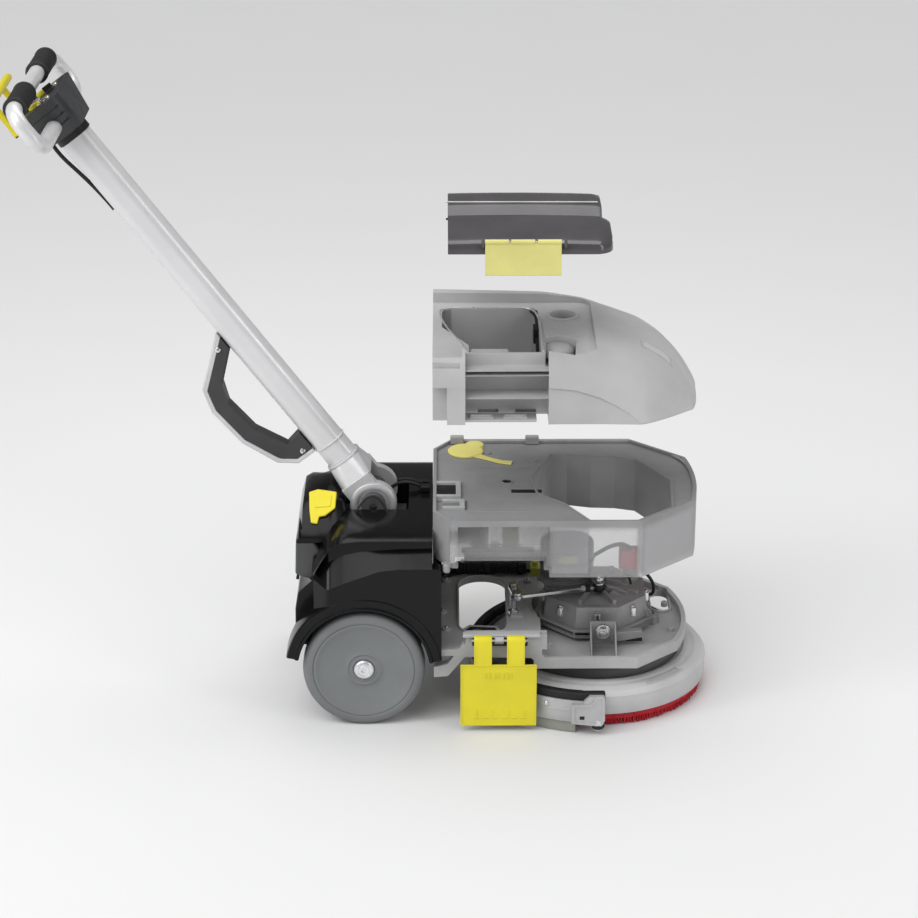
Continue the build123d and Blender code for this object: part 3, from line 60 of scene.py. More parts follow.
# ========== Materials ==========
EDGE_RADIUS = 0.0012          # rounding that the shader sees along every edge
HIGHLIGHT_FROM, HIGHLIGHT_FULL = 0.97, 0.80    # how well the rounded normal agrees where the painted edge highlight starts and is full
BLOTCH_SCALE, DUST_SCALE, SHEEN_SCALE = 14.0, 160.0, 34.0


class Shader:
    """A node material with one Principled surface and small helpers to wire it."""

    def __init__(self, name):
        self.material = bpy.data.materials.new(name)
        self.material.use_nodes = True
        self.tree = self.material.node_tree
        self.surface = self.tree.nodes["Principled BSDF"]
        self.place = self.tree.nodes.new("ShaderNodeTexCoord").outputs["Object"]

    def node(self, kind, inputs=None, **settings):
        """New node; an input is a value or another node's output."""
        made = self.tree.nodes.new(kind)
        for key, value in settings.items():
            setattr(made, key, value)
        for key, value in (inputs or {}).items():
            if isinstance(value, bpy.types.NodeSocket):
                self.tree.links.new(value, made.inputs[key])
            else:
                made.inputs[key].default_value = value
        return made

    def link(self, source, socket):
        self.tree.links.new(source, self.surface.inputs[socket])

    def noise(self, scale, detail=3.0, stretch=(1, 1, 1)):
        spread = self.node("ShaderNodeMapping", {"Vector": self.place, "Scale": stretch})
        return self.node("ShaderNodeTexNoise", {"Vector": spread.outputs[0], "Scale": scale,
                                                "Detail": detail}).outputs["Fac"]

    def ramp(self, value, low, high, to_low=0.0, to_high=1.0):
        return self.node("ShaderNodeMapRange", {"Value": value, "From Min": low, "From Max": high,
                                                "To Min": to_low, "To Max": to_high}).outputs[0]

    def mix(self, factor, first, second):
        mixed = self.node("ShaderNodeMix", data_type="RGBA")
        for index, value in ((0, factor), (6, first), (7, second)):
            if isinstance(value, bpy.types.NodeSocket):
                self.tree.links.new(value, mixed.inputs[index])
            else:
                mixed.inputs[index].default_value = value
        return mixed.outputs[2]

    def edge_highlight_mask(self):
        """How strongly a point lies on a sharp edge, from 0 to 1: the mask of the painted edge highlight.
        """
        rounded = self.node("ShaderNodeBevel", {"Radius": EDGE_RADIUS}, samples=4).outputs[0]
        true = self.node("ShaderNodeNewGeometry").outputs["Normal"]
        agreement = self.node("ShaderNodeVectorMath", {0: rounded, 1: true}, operation="DOT_PRODUCT")
        return rounded, self.ramp(agreement.outputs["Value"], HIGHLIGHT_FROM, HIGHLIGHT_FULL)


def shade(colour, factor):
    """The colour, lighter or darker."""
    return tuple(min(1.0, channel * factor) for channel in colour) + (1.0,)


def surface(name, colour, rough, metal=0.0, grain=900.0, depth=0.00004, variation=0.10, edge_highlight=1.35,
            coat=0.0, stretch=(1, 1, 1), shine=0.5):
    """A surface with blotchy colour, fine grain in its bump, uneven sheen and a painted highlight along its
    edges.
    """
    made = Shader(name)
    rounded, lit_edges = made.edge_highlight_mask()
    blotches = made.ramp(made.noise(BLOTCH_SCALE, 5.0), 0.35, 0.65)
    dust = made.ramp(made.noise(DUST_SCALE, 2.0, stretch), 0.3, 0.7)
    base = made.mix(blotches, shade(colour, 1 - variation), shade(colour, 1 + variation))
    base = made.mix(made.ramp(dust, 0, 1, 0, variation), base, shade(colour, 1.25))
    # painted highlight: sharp edges are mixed towards a lighter copy of the colour
    base = made.mix(made.ramp(lit_edges, 0, 1, 0, 0.55), base, shade(colour, edge_highlight))
    made.link(base, "Base Color")
    made.link(made.ramp(made.noise(SHEEN_SCALE, 4.0, stretch), 0.3, 0.7, rough * 0.82, rough * 1.2),
              "Roughness")
    made.surface.inputs["Metallic"].default_value = metal
    made.surface.inputs["Coat Weight"].default_value = coat
    made.surface.inputs["Coat Roughness"].default_value = 0.08
    bump = made.node("ShaderNodeBump", {"Strength": 0.6, "Distance": depth,
                                        "Height": made.noise(grain, 3.0, stretch), "Normal": rounded})
    made.link(bump.outputs[0], "Normal")
    made.surface.inputs["Specular IOR Level"].default_value = shine
    return made


LOOKS = {
    "deck_grey": dict(colour=(0.39, 0.39, 0.395), rough=0.50),
    "steel": dict(colour=(0.60, 0.60, 0.62), rough=0.28, metal=1.0, stretch=(1, 12, 1)),
    "housing_black": dict(colour=(0.005, 0.005, 0.0055), rough=0.17, depth=0.00001, edge_highlight=8.0, shine=0.22),
    "box_dark": dict(colour=(0.030, 0.031, 0.033), rough=0.42, edge_highlight=2.5),
    "pedestal_dark": dict(colour=(0.070, 0.071, 0.073), rough=0.45, edge_highlight=2.0),
    "inner_black": dict(colour=(0.007, 0.007, 0.0075), rough=0.48, edge_highlight=3.0),
    "hose_rubber": dict(colour=(0.011, 0.011, 0.012), rough=0.62, grain=700.0, depth=0.00010, edge_highlight=2.0),
    "valve_yellow": dict(colour=(0.52, 0.55, 0.09), rough=0.40),
    "cast_metal": dict(colour=(0.33, 0.33, 0.33), rough=0.52, metal=0.55, grain=420.0, depth=0.00022,
                       variation=0.16, edge_highlight=1.6),
    "bolt_zinc": dict(colour=(0.72, 0.72, 0.73), rough=0.22, metal=1.0, depth=0.00001),
    "tyre_grey": dict(colour=(0.165, 0.172, 0.178), rough=0.50, grain=600.0, variation=0.07, edge_highlight=1.2),
    "rim_grey": dict(colour=(0.175, 0.188, 0.190), rough=0.42, variation=0.05, edge_highlight=1.4),
    "cap_silver": dict(colour=(0.76, 0.77, 0.79), rough=0.30, metal=0.7),
    "accent_yellow": dict(colour=(0.74, 0.63, 0.012), rough=0.38, variation=0.04, edge_highlight=1.15),
    "knuckle_silver": dict(colour=(0.60, 0.60, 0.61), rough=0.42, metal=0.5, grain=500.0, depth=0.00010),
    "tube_silver": dict(colour=(0.70, 0.70, 0.71), rough=0.34, metal=0.30, stretch=(9, 1, 9), depth=0.00001,
                        variation=0.03),
    "spine_silver": dict(colour=(0.55, 0.55, 0.56), rough=0.40),
    "grip_dark": dict(colour=(0.040, 0.040, 0.042), rough=0.55, grain=1500.0, depth=0.00012, edge_highlight=2.5),
    "grip_rubber": dict(colour=(0.020, 0.020, 0.021), rough=0.66, grain=1200.0, depth=0.00015, edge_highlight=2.0),
    "drum_dark": dict(colour=(0.090, 0.090, 0.093), rough=0.50, edge_highlight=1.8),
    "ring_grey": dict(colour=(0.50, 0.50, 0.505), rough=0.46, variation=0.06),
    "motor_grey": dict(colour=(0.22, 0.22, 0.23), rough=0.38, metal=0.35),
    "connector_red": dict(colour=(0.50, 0.035, 0.035), rough=0.40),
    "bush_brass": dict(colour=(0.62, 0.46, 0.20), rough=0.30, metal=1.0),
    "brush_red": dict(colour=(0.50, 0.004, 0.014), rough=0.55, variation=0.15),
    "squeegee_silver": dict(colour=(0.47, 0.47, 0.48), rough=0.38, metal=0.35, stretch=(1, 1, 9)),
    "blade_rubber": dict(colour=(0.30, 0.31, 0.27), rough=0.55, grain=500.0, depth=0.00008),
    "flap_yellow": dict(colour=(0.72, 0.63, 0.018), rough=0.40, variation=0.05, edge_highlight=1.15),
    "tank_grey": dict(colour=(0.27, 0.27, 0.275), rough=0.46, variation=0.07, edge_highlight=1.7),
    "cap_yellow": dict(colour=(0.84, 0.76, 0.22), rough=0.45, variation=0.05, edge_highlight=1.1),
    "shell_grey": dict(colour=(0.44, 0.44, 0.445), rough=0.44, variation=0.05, edge_highlight=1.4),
    "lid_dark": dict(colour=(0.066, 0.062, 0.066), rough=0.22, coat=0.25, depth=0.00002, edge_highlight=2.2),
}
materials = {slot: surface(slot, **look).material for slot, look in LOOKS.items()}

for node, thing in nodes.items():
    thing.data.materials.clear()
    thing.data.materials.append(materials[SLOT_OF[node]])

# ========== Mesh tools: every size here is in millimetres ==========
BOTH_SIDES = (-1, 1)
SIDES = ((-1, "near"), (1, "far"))
HEAD = (401, 0)               # axis of the brush head, seen from above
PIVOT = Vector((16, 0, 352))  # where the handle folds
BOTTLE_HOLE = (339, 42)       # in the lid seat, seen from above
TANK_HOLE = (175, 137)        # filling hole of the fresh tank, seen from above
HOSE = (132, 152)             # axis of the suction hose, seen from behind


def place(axis, u, v, along):
    """Point with two coordinates across an axis and one along it."""
    return {"X": (along, u, v), "Y": (u, along, v), "Z": (u, v, along)}[axis]


def skin(rings, closed=True, caps=True):
    """Mesh stretched over rings that all have the same number of points."""
    form = bmesh.new()
    rows = [[form.verts.new(Vector(point) * MM) for point in ring] for ring in rings]
    for first, second in zip(rows, rows[1:]):
        count = len(first)
        for index in range(count if closed else count - 1):
            after = (index + 1) % count
            form.faces.new((first[index], first[after], second[after], second[index]))
    if caps:
        form.faces.new(rows[0])
        form.faces.new(rows[-1])
    bmesh.ops.remove_doubles(form, verts=form.verts, dist=1e-6)
    bmesh.ops.recalc_face_normals(form, faces=form.faces)
    mesh = bpy.data.meshes.new("form")
    form.to_mesh(mesh)
    form.free()
    return mesh


def prism(points, low, high, axis="Z"):
    """Flat outline drawn out along an axis."""
    return skin([[place(axis, u, v, level) for u, v in points] for level in (low, high)])


def square(inner, outer, low, high):
    """Four corners of a rectangle: the outline of a block, or the profile of a plain ring."""
    return [(inner, low), (outer, low), (outer, high), (inner, high)]


def block(low, high):
    """Box between two corners."""
    return prism(square(low[0], high[0], low[1], high[1]), low[2], high[2])


def side_block(side, low, high):
    """Box between two corners, given for the far side and put on either side."""
    near, far = sorted((side * low[1], side * high[1]))
    return block((low[0], near, low[2]), (high[0], far, high[2]))


def disc(centre, radius, steps=48, start=0.0, stretch=1.0):
    """Points round a circle."""
    turns = [start + 2 * math.pi * step / steps for step in range(steps)]
    return [(centre[0] + radius * math.cos(turn), centre[1] + radius * stretch * math.sin(turn))
            for turn in turns]


def lathe(profile, centre=(0, 0), axis="Z", steps=96, first=0.0, last=360.0):
    """Profile of (radius, place along the axis) turned round an axis, all the way or between two angles."""
    whole = last - first >= 360
    rings = []
    for step in range(steps + 1):
        turn = math.radians(first + (last - first) * step / steps)
        rings.append([place(axis, centre[0] + radius * math.cos(turn), centre[1] + radius * math.sin(turn),
                            along) for radius, along in profile])
    return skin(rings, caps=not whole)


def ring_spot(radius, degrees):
    """Place round the axis of the brush head, seen from above."""
    turn = math.radians(degrees)
    return (HEAD[0] + radius * math.cos(turn), HEAD[1] + radius * math.sin(turn))


def joined(*meshes):
    """One mesh that holds several."""
    form = bmesh.new()
    for mesh in meshes:
        form.from_mesh(mesh)
    mesh = bpy.data.meshes.new("form")
    form.to_mesh(mesh)
    form.free()
    return mesh


def moved(mesh, matrix):
    """The mesh, put in another place."""
    mesh.transform(matrix)
    return mesh


def show(name, data):
    """New object in the scene."""
    made = bpy.data.objects.new(name, data)
    bpy.context.scene.collection.objects.link(made)
    return made


def carve(mesh, *cutters, operation="DIFFERENCE"):
    """The mesh with the cutters taken away, or joined on."""
    work = show("work", mesh)
    tools = [show("tool", cutter) for cutter in cutters]
    for tool in tools:
        step = work.modifiers.new("cut", "BOOLEAN")
        step.object, step.operation, step.solver = tool, operation, "EXACT"
    graph = bpy.context.evaluated_depsgraph_get()
    result = bpy.data.meshes.new_from_object(work.evaluated_get(graph))
    for thing in [work] + tools:
        bpy.data.objects.remove(thing)
    return result


def soften(thing, width, rounds=2):
    """Small rounding along the sharp edges of a piece."""
    rounding = thing.modifiers.new("rounding", "BEVEL")
    rounding.width = width * MM
    rounding.segments = rounds
    rounding.limit_method = "ANGLE"
    rounding.angle_limit = math.radians(30)
    rounding.harden_normals = True


def piece(name, mesh, slot, body, bevel=0.0, rounds=2, crease=32, stands_for=(), look=None):
    """Shows a mesh as part of the object, with its finish, its body and the CAD nodes it stands for."""
    made = show(name, mesh)
    mesh.materials.clear()
    mesh.materials.append(look or materials[slot])
    mesh.shade_smooth()
    mesh.set_sharp_from_angle(angle=math.radians(crease))
    if bevel:
        soften(made, bevel, rounds)
    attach(made, body)
    if stands_for:
        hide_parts(*stands_for)
    return made


def turned_piece(name, profile, centre, slot, body, axis="Z", steps=40, first=0.0, last=360.0, crease=40,
                 **finish):
    """Shows a profile turned round an axis."""
    form = lathe(profile, centre, axis, steps, first, last)
    return piece(name, form, slot, body, crease=crease, **finish)


def rod(name, points, radius, slot, body, smooth=True):
    """Round rod, hose or cable along a run of points."""
    curve = bpy.data.curves.new(name, "CURVE")
    curve.dimensions = "3D"
    curve.bevel_depth = radius * MM
    curve.bevel_resolution = 5
    curve.use_fill_caps = True
    run = curve.splines.new("NURBS" if smooth else "POLY")
    run.points.add(len(points) - 1)
    for knot, point in zip(run.points, points):
        knot.co = (*mm(*point), 1)
    if smooth:
        run.use_endpoint_u = True
        run.order_u = min(4, len(points))
        curve.resolution_u = 8
    made = show(name, curve)
    curve.materials.append(materials[slot])
    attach(made, body)
    return made


def between(table, at):
    """Value at a place in a run of (place, value) pairs, straight between them."""
    if at <= table[0][0]:
        return table[0][1]
    for (left, low), (right, high) in zip(table, table[1:]):
        if at <= right:
            return low + (high - low) * (at - left) / (right - left)
    return table[-1][1]


def steps_between(start, end, count):
    """Even steps from one place to another."""
    return [start + (end - start) * index / count for index in range(count + 1)]


def mirror_ring(half):
    """Closed ring across the mid-plane from its near half, listed from top middle to bottom middle."""
    return half + [(y * -1, z) for y, z in reversed(half) if y != 0]


def superellipse(width, low, high, power, count=14):
    """Half section of a crowned cover, from its middle out to its side."""
    points = []
    for index in range(count + 1):
        across = math.sin(0.5 * math.pi * index / count)
        points.append((-width * across, high - (high - low) * across ** power))
    return points


# ========== Rear housing: cover, ledges, arches and fenders ==========
WHEEL_MIDDLE = (0, 104)
ARCH_R = 112
COVER_TOP = [(-84, 283), (-81, 288), (-72, 308), (-55, 335), (-40, 346), (-25, 350), (117, 350)]
UPPER_CREASE = [(-84, 273), (-82, 277), (-72, 298), (-55, 325), (-39, 336), (-5, 340), (117, 340)]
LEDGE_INNER = [(-84, 270), (-78, 284), (-30, 308), (0, 314), (60, 318), (117, 319)]
LOWER_CREASE = [(-84, 264), (-60, 254), (-30, 267), (0, 278), (27, 288), (60, 292), (117, 292)]
SIDE_OUT = [(-84, 160), (-60, 185), (117, 185)]
COVER_OUT = [(-84, 168), (-70, 175), (-40, 176.5), (117, 176.5)]


def housing_ring(x):
    """Section of the rear housing across the machine."""
    top, crease = between(COVER_TOP, x), between(UPPER_CREASE, x)
    out, side, ledge = between(COVER_OUT, x), between(SIDE_OUT, x), between(LEDGE_INNER, x)
    arch = WHEEL_MIDDLE[1] + math.sqrt(max(ARCH_R ** 2 - x ** 2, 60 ** 2))
    rise = top - crease
    half = [(0, top), (-out * 0.45, top - rise * 0.06), (-out * 0.7, top - rise * 0.2),
            (-out * 0.86, top - rise * 0.38), (-out * 0.94, top - rise * 0.58), (-out, crease),
            (-out + 1, crease - 2.5), (-side + 27, crease - 4), (-side + 27, min(ledge, crease - 5)),
            (-side, between(LOWER_CREASE, x)), (-side, arch), (-134, arch), (-134, 142), (0, 142)]
    return [(x, y, z) for y, z in mirror_ring(half)]


housing_stations = steps_between(-84, -20, 12) + steps_between(-14, 117, 18)
well = block((-46, -62, 306), (76, 62, 380))
arch_run = [(ARCH_R * math.cos(math.radians(turn)), WHEEL_MIDDLE[1] + ARCH_R * math.sin(math.radians(turn)))
            for turn in range(45, 7, -3)]
cheek_outline = [(132, 122), (132, 286), (127, 292), (117, 292), (80, 280)] + arch_run
CHEEK_IN, CHEEK_OUT = 160, 185
cheeks = [prism(cheek_outline, *sorted((side * CHEEK_IN, side * CHEEK_OUT)), "Y") for side in BOTH_SIDES]
housing_form = carve(skin([housing_ring(x) for x in housing_stations]), *cheeks, operation="UNION")
piece("housing_cover", carve(housing_form, well), "housing_black", "chassis", bevel=1.2, crease=24,
      stands_for=("rear_housing",))
for side, name in SIDES:
    lip = [(112, 134), (112, 184), (113, 188.5), (115.5, 190.5), (118, 190), (119.5, 187.5), (124, 186.5),
           (129.5, 187.2), (132, 186.6), (133.5, 184), (134, 180), (134, 134)]
    ring = [(radius, side * across) for radius, across in lip]
    turned_piece("fender_" + name, ring, WHEEL_MIDDLE, "housing_black", "chassis", axis="Y", steps=72,
                 first=8, last=169)
skirt = [(-80, 262), (-86, 250), (-112, 226), (-117, 196), (-118, 132), (-112, 128), (-80, 128)]
piece("rear_skirt", prism(skirt, -133.5, 133.5, "Y"), "housing_black", "chassis", bevel=2.5, rounds=3)

# ========== Wheels ==========
WHEEL_Y = 163
TYRE = [(86, -19), (90, -22), (96, -22.3), (100, -20.5), (102.8, -16), (104, -9), (104, 9), (102.9, 15),
        (100.6, 18.8), (97, 21.2), (92, 22.3), (88.5, 22.1), (86.9, 21.6), (86.2, 20.6)]
RIM = [(10.5, -21), (24, -21), (28, -4), (70, -4), (76, -18), (86, -18), (86, 20.9), (85, 21.5), (82, 21.2),
       (79, 19.4), (72, 17.6), (58, 15.6), (44, 14.6), (34, 14.2), (31, 15.0), (28.5, 16.8), (27.5, 17),
       (26.6, 16), (23.5, 15.4), (21.5, 16.6), (19.4, 16.8), (18, 15.8), (18, 14), (10.5, 14)]
CAP = [(11, 14.5), (16.6, 14.5), (17.2, 18), (16.2, 20), (14.6, 21.2), (12.4, 22.2), (7, 22.6), (0, 22.6),
       (0, 19), (11, 19)]
STAR_POINTS = 6
for side, name in SIDES:
    body = "wheel_" + name

    def turned(profile, steps=128):
        """Wheel profile put on this side of the machine."""
        return lathe([(radius, side * (WHEEL_Y + along)) for radius, along in profile], WHEEL_MIDDLE, "Y",
                     steps)

    piece("tyre_surface_" + name, turned(TYRE), "tyre_grey", body, crease=50, stands_for=("tyre_" + name,))
    piece("rim_surface_" + name, turned(RIM), "rim_grey", body, crease=50, stands_for=("rim_" + name,))
    star = [(WHEEL_MIDDLE[0] + radius * math.sin(math.pi * tip / STAR_POINTS),
             WHEEL_MIDDLE[1] + radius * math.cos(math.pi * tip / STAR_POINTS))
            for tip in range(2 * STAR_POINTS) for radius in ((5.4, 3.6)[tip % 2],)]
    recess = prism(star, side * (WHEEL_Y + 20.4), side * (WHEEL_Y + 30), "Y")
    ring_groove = lathe(square(9.0, 10.4, side * (WHEEL_Y + 21.8), side * (WHEEL_Y + 30)), WHEEL_MIDDLE,
                        "Y", 64)
    piece("hub_bolt_" + name, carve(turned(CAP, 64), recess, ring_groove), "cap_silver", body, crease=35,
          stands_for=("hub_cap_" + name,))


# rear box: dark grey tray with a black cover
box_side = [(-85, 240), (-117, 250), (-115, 309), (-84, 311), (-72, 290), (-82.6, 284), (-85, 262)]
piece("box_tray", prism(box_side, -112, 112, "Y"), "pedestal_dark", "chassis", bevel=4, rounds=4,
      stands_for=("rear_box",))
BOX_COVER = [(112, 300), (112, 318), (104, 331), (62, 368), (34, 383), (0, 386)]


def box_ring(x):
    """Section of the rear box's cover, lower towards both ends."""
    top = between([(-114.5, 316), (-104, 362), (-92, 372), (-58, 385), (-44, 375), (-36, 366), (-31, 352)],
                  x)
    low = between([(-114.5, 309), (-84, 309), (-60, 310), (-31, 345)], x)
    half = [(0, top)] + [(-y, min(z, top - 0.02 * y)) for y, z in reversed(BOX_COVER[1:-1])]
    half += [(-112, max(min(313, top - 3), low + 1)), (-112, low), (0, low)]
    return [(x, y, z) for y, z in mirror_ring(half)]


piece("box_cover", skin([box_ring(x) for x in (-114.5, -110, -104, -92, -75, -58, -50, -44, -36, -31)]),
      "housing_black", "chassis", bevel=2.5, rounds=3, crease=35)

# yellow hexagonal clip on the sloping near face of the box
clip_up = Vector((0, 0.72, 0.694))
clip_face = Matrix((Vector((1, 0, 0)), clip_up, Vector((0, -0.694, 0.72)))).transposed().to_4x4()
CLIP_MIDDLE = (-67, -73.6, 359)
clip_place = Matrix.Translation(mm(*CLIP_MIDDLE)) @ clip_face
clip = [(-26, 26), (-11, 31), (21, 26), (19, -4), (2, -18), (-8, -20), (-11, -33), (-22, -31), (-25, -7)]
piece("clip_plate", moved(prism(clip, 1.2, 6.5), clip_place), "accent_yellow", "clip", bevel=1.8, rounds=3,
      stands_for=("box_clip",))
rib = [(-16, -4), (11, -2), (13, 19), (-8, 23), (-17, 19)]
piece("clip_pad", moved(prism(rib, 6.0, 7.6), clip_place), "accent_yellow", "clip", bevel=0.7, rounds=3)

# bright rings of the handle knuckle, and the cable that loops round it
for side, name in SIDES:
    ring = [(27.5, side * 45), (39.2, side * 45), (39.2, side * 48), (37.5, side * 49.5), (30, side * 49.5),
            (27.5, side * 48)]
    turned_piece("knuckle_ring_" + name, ring, (PIVOT.x, PIVOT.z), "knuckle_silver", "handle", axis="Y",
                 steps=72, crease=45)
rod("knuckle_cable", [(-12, -74, 351), (-6, -69, 362), (4, -66, 373), (16, -65, 377), (28, -66, 371),
                      (38, -70, 353)], 1.6, "hose_rubber", "chassis")
for number, bend in enumerate((0, 14)):
    rod("front_cable_%d" % number, [(44, 30 + bend, 351), (60, 34 + bend, 366), (84, 20 + bend, 368),
                                    (104, 24 + bend, 352)], 3.2, "hose_rubber", "chassis")
for level in (320, 335):
    piece("connector_%d" % level, block((96, 10 + level - 320, 351), (112, 34 + level - 320, 361)),
          "inner_black", "chassis", bevel=1.5)

# ========== Recovery tank and its lid ==========
SHELL_REAR, SHELL_NOSE, SHELL_BOTTOM = 118.5, 563, 553
CROWN = [(118, 680), (300, 678), (383, 671), (433, 658), (467, 650), (502, 632), (519, 617), (537, 599),
         (551, 577), (560, 561), (563, 555)]
SHOULDER = [(118, 617), (301, 617), (350, 613), (391, 600), (416, 587), (440, 572), (459, 554.5),
            (563, 554)]
CROWN_POWER = [(118, 11), (320, 9), (400, 5.5), (470, 4.2), (563, 2.6)]
FACET_START, FACET_END, FACET_HALF = 461, 545, 122
SEAT_Z, SEAT_FRONT = 662, 388


def smooth_between(table, at):
    """Value at a place, eased between the pairs of a table."""
    nearby = [between(table, at + shift) for shift in (-9, -4.5, 0, 4.5, 9)]
    return sum(nearby) / len(nearby)


def shell_width(x):
    """Half width of the recovery tank: straight sides, flat facets, then a round nose."""
    if x <= FACET_START:
        return 188
    if x <= FACET_END:
        return 188 + (FACET_HALF - 188) * ((x - FACET_START) / (FACET_END - FACET_START)) ** 1.25
    return FACET_HALF * math.sqrt(max(0.0, 1 - ((x - FACET_END) / (SHELL_NOSE - FACET_END + 0.05)) ** 2))


def shell_ring(x):
    """Section of the recovery tank across the machine."""
    width = max(shell_width(x), 3)
    crown = max(smooth_between(CROWN, x), SHELL_BOTTOM + 1.5)
    crease = min(between(SHOULDER, x), crown - 0.5)
    power = between(CROWN_POWER, x)
    half = superellipse(width, crease, crown, power)
    tuck = between([(290, 0), (320, 2.5), (400, 2.5), (461, 0)], x)
    half += [(-width + tuck, crease - 1.2), (-width + tuck, SHELL_BOTTOM), (0, SHELL_BOTTOM)]
    return [(x, y, z) for y, z in mirror_ring(half)]


shell_stations = steps_between(SHELL_REAR, 430, 24)
shell_stations += [440 + (SHELL_NOSE - 440) * math.sin(0.5 * math.pi * index / 22) for index in range(23)]
MOUTH_TOP, PIT_FLOOR, ABOVE_SEAT = 648, 572, 720


def mouth_outline(near):
    """Opening under the lid, seen from above, down to a near edge."""
    return [(134, 66), (139, 76), (150, 80), (288, 80), (297, 72), (297, near), (178, near), (178, -105),
            (134, -14)]


seat_outline = [(60, -150), (SEAT_FRONT - 16, -150), (SEAT_FRONT - 5, -145), (SEAT_FRONT, -134),
                (SEAT_FRONT, 94), (SEAT_FRONT - 7, 109), (SEAT_FRONT - 22, 116), (60, 116)]
FLOAT_HOLE = (331, -84)
cutters = [
    prism(seat_outline, SEAT_Z, ABOVE_SEAT),
    block((60, -190, SEAT_Z), (167, -132, ABOVE_SEAT)),
    prism(mouth_outline(-140), MOUTH_TOP, 700),
    prism(mouth_outline(-131), PIT_FLOOR, 700),
    block((100, -200, 646), (163, -172, 655)),
    block((146, 168, 545), (174, 190, 562)),
    block((280, 168, 545), (308, 190, 562)),
    prism(disc(BOTTLE_HOLE, 22), 590, 700),
    prism(disc(FLOAT_HOLE, 27), 628, 700),
    prism([(303, -152), (352, -152), (356, -90), (306, -84)], 628, 700),
    prism(disc(HEAD, 108, 64), 540, 585),
]
cutters += [side_block(side, (60, 167, 540), (142, 230, 617)) for side in BOTH_SIDES]
for side in BOTH_SIDES:
    for reach, low, high in ((146, 642, 700), (150, 635, 642), (143, 598, 635), (138, 540, 598)):
        cutters.append(side_block(side, (172, reach, low), (308, 260, high)))
    for start in (193, 255):
        cutters.append(side_block(side, (start, 134, 556), (start + 34, 150, 562)))
shell_body = carve(skin([shell_ring(x) for x in shell_stations]), *cutters)
piece("recovery_shell", shell_body, "shell_grey", "shell", bevel=2.0, rounds=3, crease=30,
      stands_for=("recovery_tank",))

# painted shade: the walls and the floor band inside the mouth take a darker grey than the rest of the shell
inside_shade = surface("shell_inside_shade", (0.27, 0.27, 0.275), 0.5).material
shell_body.materials.append(inside_shade)
for face in shell_body.polygons:
    x, y, z = face.center / MM
    upright = z < 657 and abs(face.normal.z) < 0.5
    if 130 < x < 300 and -137 < y < 79 and (upright or 560 < z < 580):
        face.material_index = 1

piece("float_box", block((180, -128, 571), (246, -58, 640)), "ring_grey", "shell", bevel=5, rounds=4)
for level in range(4):
    z = 586 + 14 * level
    piece("float_box_rib_%d" % level, block((179.2, -128.8, z), (246.8, -57.2, z + 3)), "ring_grey",
          "shell", bevel=1.0)
rod("mouth_gasket", [(286, 79, 660), (296, 74, 655), (297, 40, 650), (295, 0, 640), (296, -40, 628),
                     (292, -70, 612)], 4.2, "inner_black", "shell")
piece("gasket_tab", block((288, -6, 628), (298, 26, 654)), "inner_black", "shell", bevel=2)
turned_piece("bottle_ring", [(22, SEAT_Z - 3), (26, SEAT_Z - 3), (26.5, SEAT_Z + 2), (25, SEAT_Z + 3.4),
                             (22.6, SEAT_Z + 3.4), (22, SEAT_Z + 2)], BOTTLE_HOLE, "shell_grey", "shell",
             steps=64, crease=50)


def shell_height(x, y):
    """Height of the recovery tank's crown at a place."""
    crown = smooth_between(CROWN, x)
    crease = min(between(SHOULDER, x), crown - 0.5)
    power = between(CROWN_POWER, x)
    return crown - (crown - crease) * (abs(y) / shell_width(x)) ** power


def plaque_form(x0, x1, y0, y1, sink, rise):
    """Plate that follows the crown, from below it to above it."""
    rings = []
    for x in steps_between(x0, x1, 10):
        across = steps_between(y0, y1, 6)
        top = [(x, y, shell_height(x, y) + rise) for y in across]
        rings.append(top + [(x, y, shell_height(x, y) - sink) for y in reversed(across)])
    return skin(rings)


# plain plaque with a raised border on the nose
plaque = carve(plaque_form(466, 519, -74, -46, 1.0, 1.3), plaque_form(469, 516, -71, -49, 3.0, 4.0))
piece("nose_plaque_border", plaque, "shell_grey", "shell", bevel=0.3)
piece("nose_plaque", plaque_form(469.5, 515.5, -70.5, -49.5, 1.0, 0.5), "ring_grey", "shell", bevel=0.2)

LID_REAR, LID_FRONT, LID_BOTTOM = 144, 412, 829
LID_NEAR, LID_FAR = -140, 112


def lid_ring(x, sink=0.0):
    """Section of the lid: a low near part, a groove, and a raised far part."""
    front = max(0.0, (x - (LID_FRONT - 30)) / 30)
    pull = 30 * (1 - math.sqrt(max(0.0, 1 - front ** 2)))
    fall = 9 * front ** 2.5 + 3.0 * ((x - 250) / 160) ** 2 + sink
    near, far = LID_NEAR + pull + sink, LID_FAR - pull - sink
    top = [(near, 843), (near + 2, 847), (near + 7, 850), (near + 22, 853), (-96, 855.5), (-60, 857.5),
           (-28, 858.5), (-16, 858.4), (-13.5, 857), (-12, 850.5), (-9, 848.5), (-4, 850), (6, 855.5),
           (19, 863.5), (24, 866), (32, 866), (64, 866), (min(92, far - 12), 864.5), (far - 7, 861.5),
           (far - 2, 858), (far, 853)]
    top = [(y, max(z - fall, LID_BOTTOM + 0.6)) for y, z in top]
    return [(x, y, z) for y, z in top] + [(x, far, LID_BOTTOM), (x, near, LID_BOTTOM)]


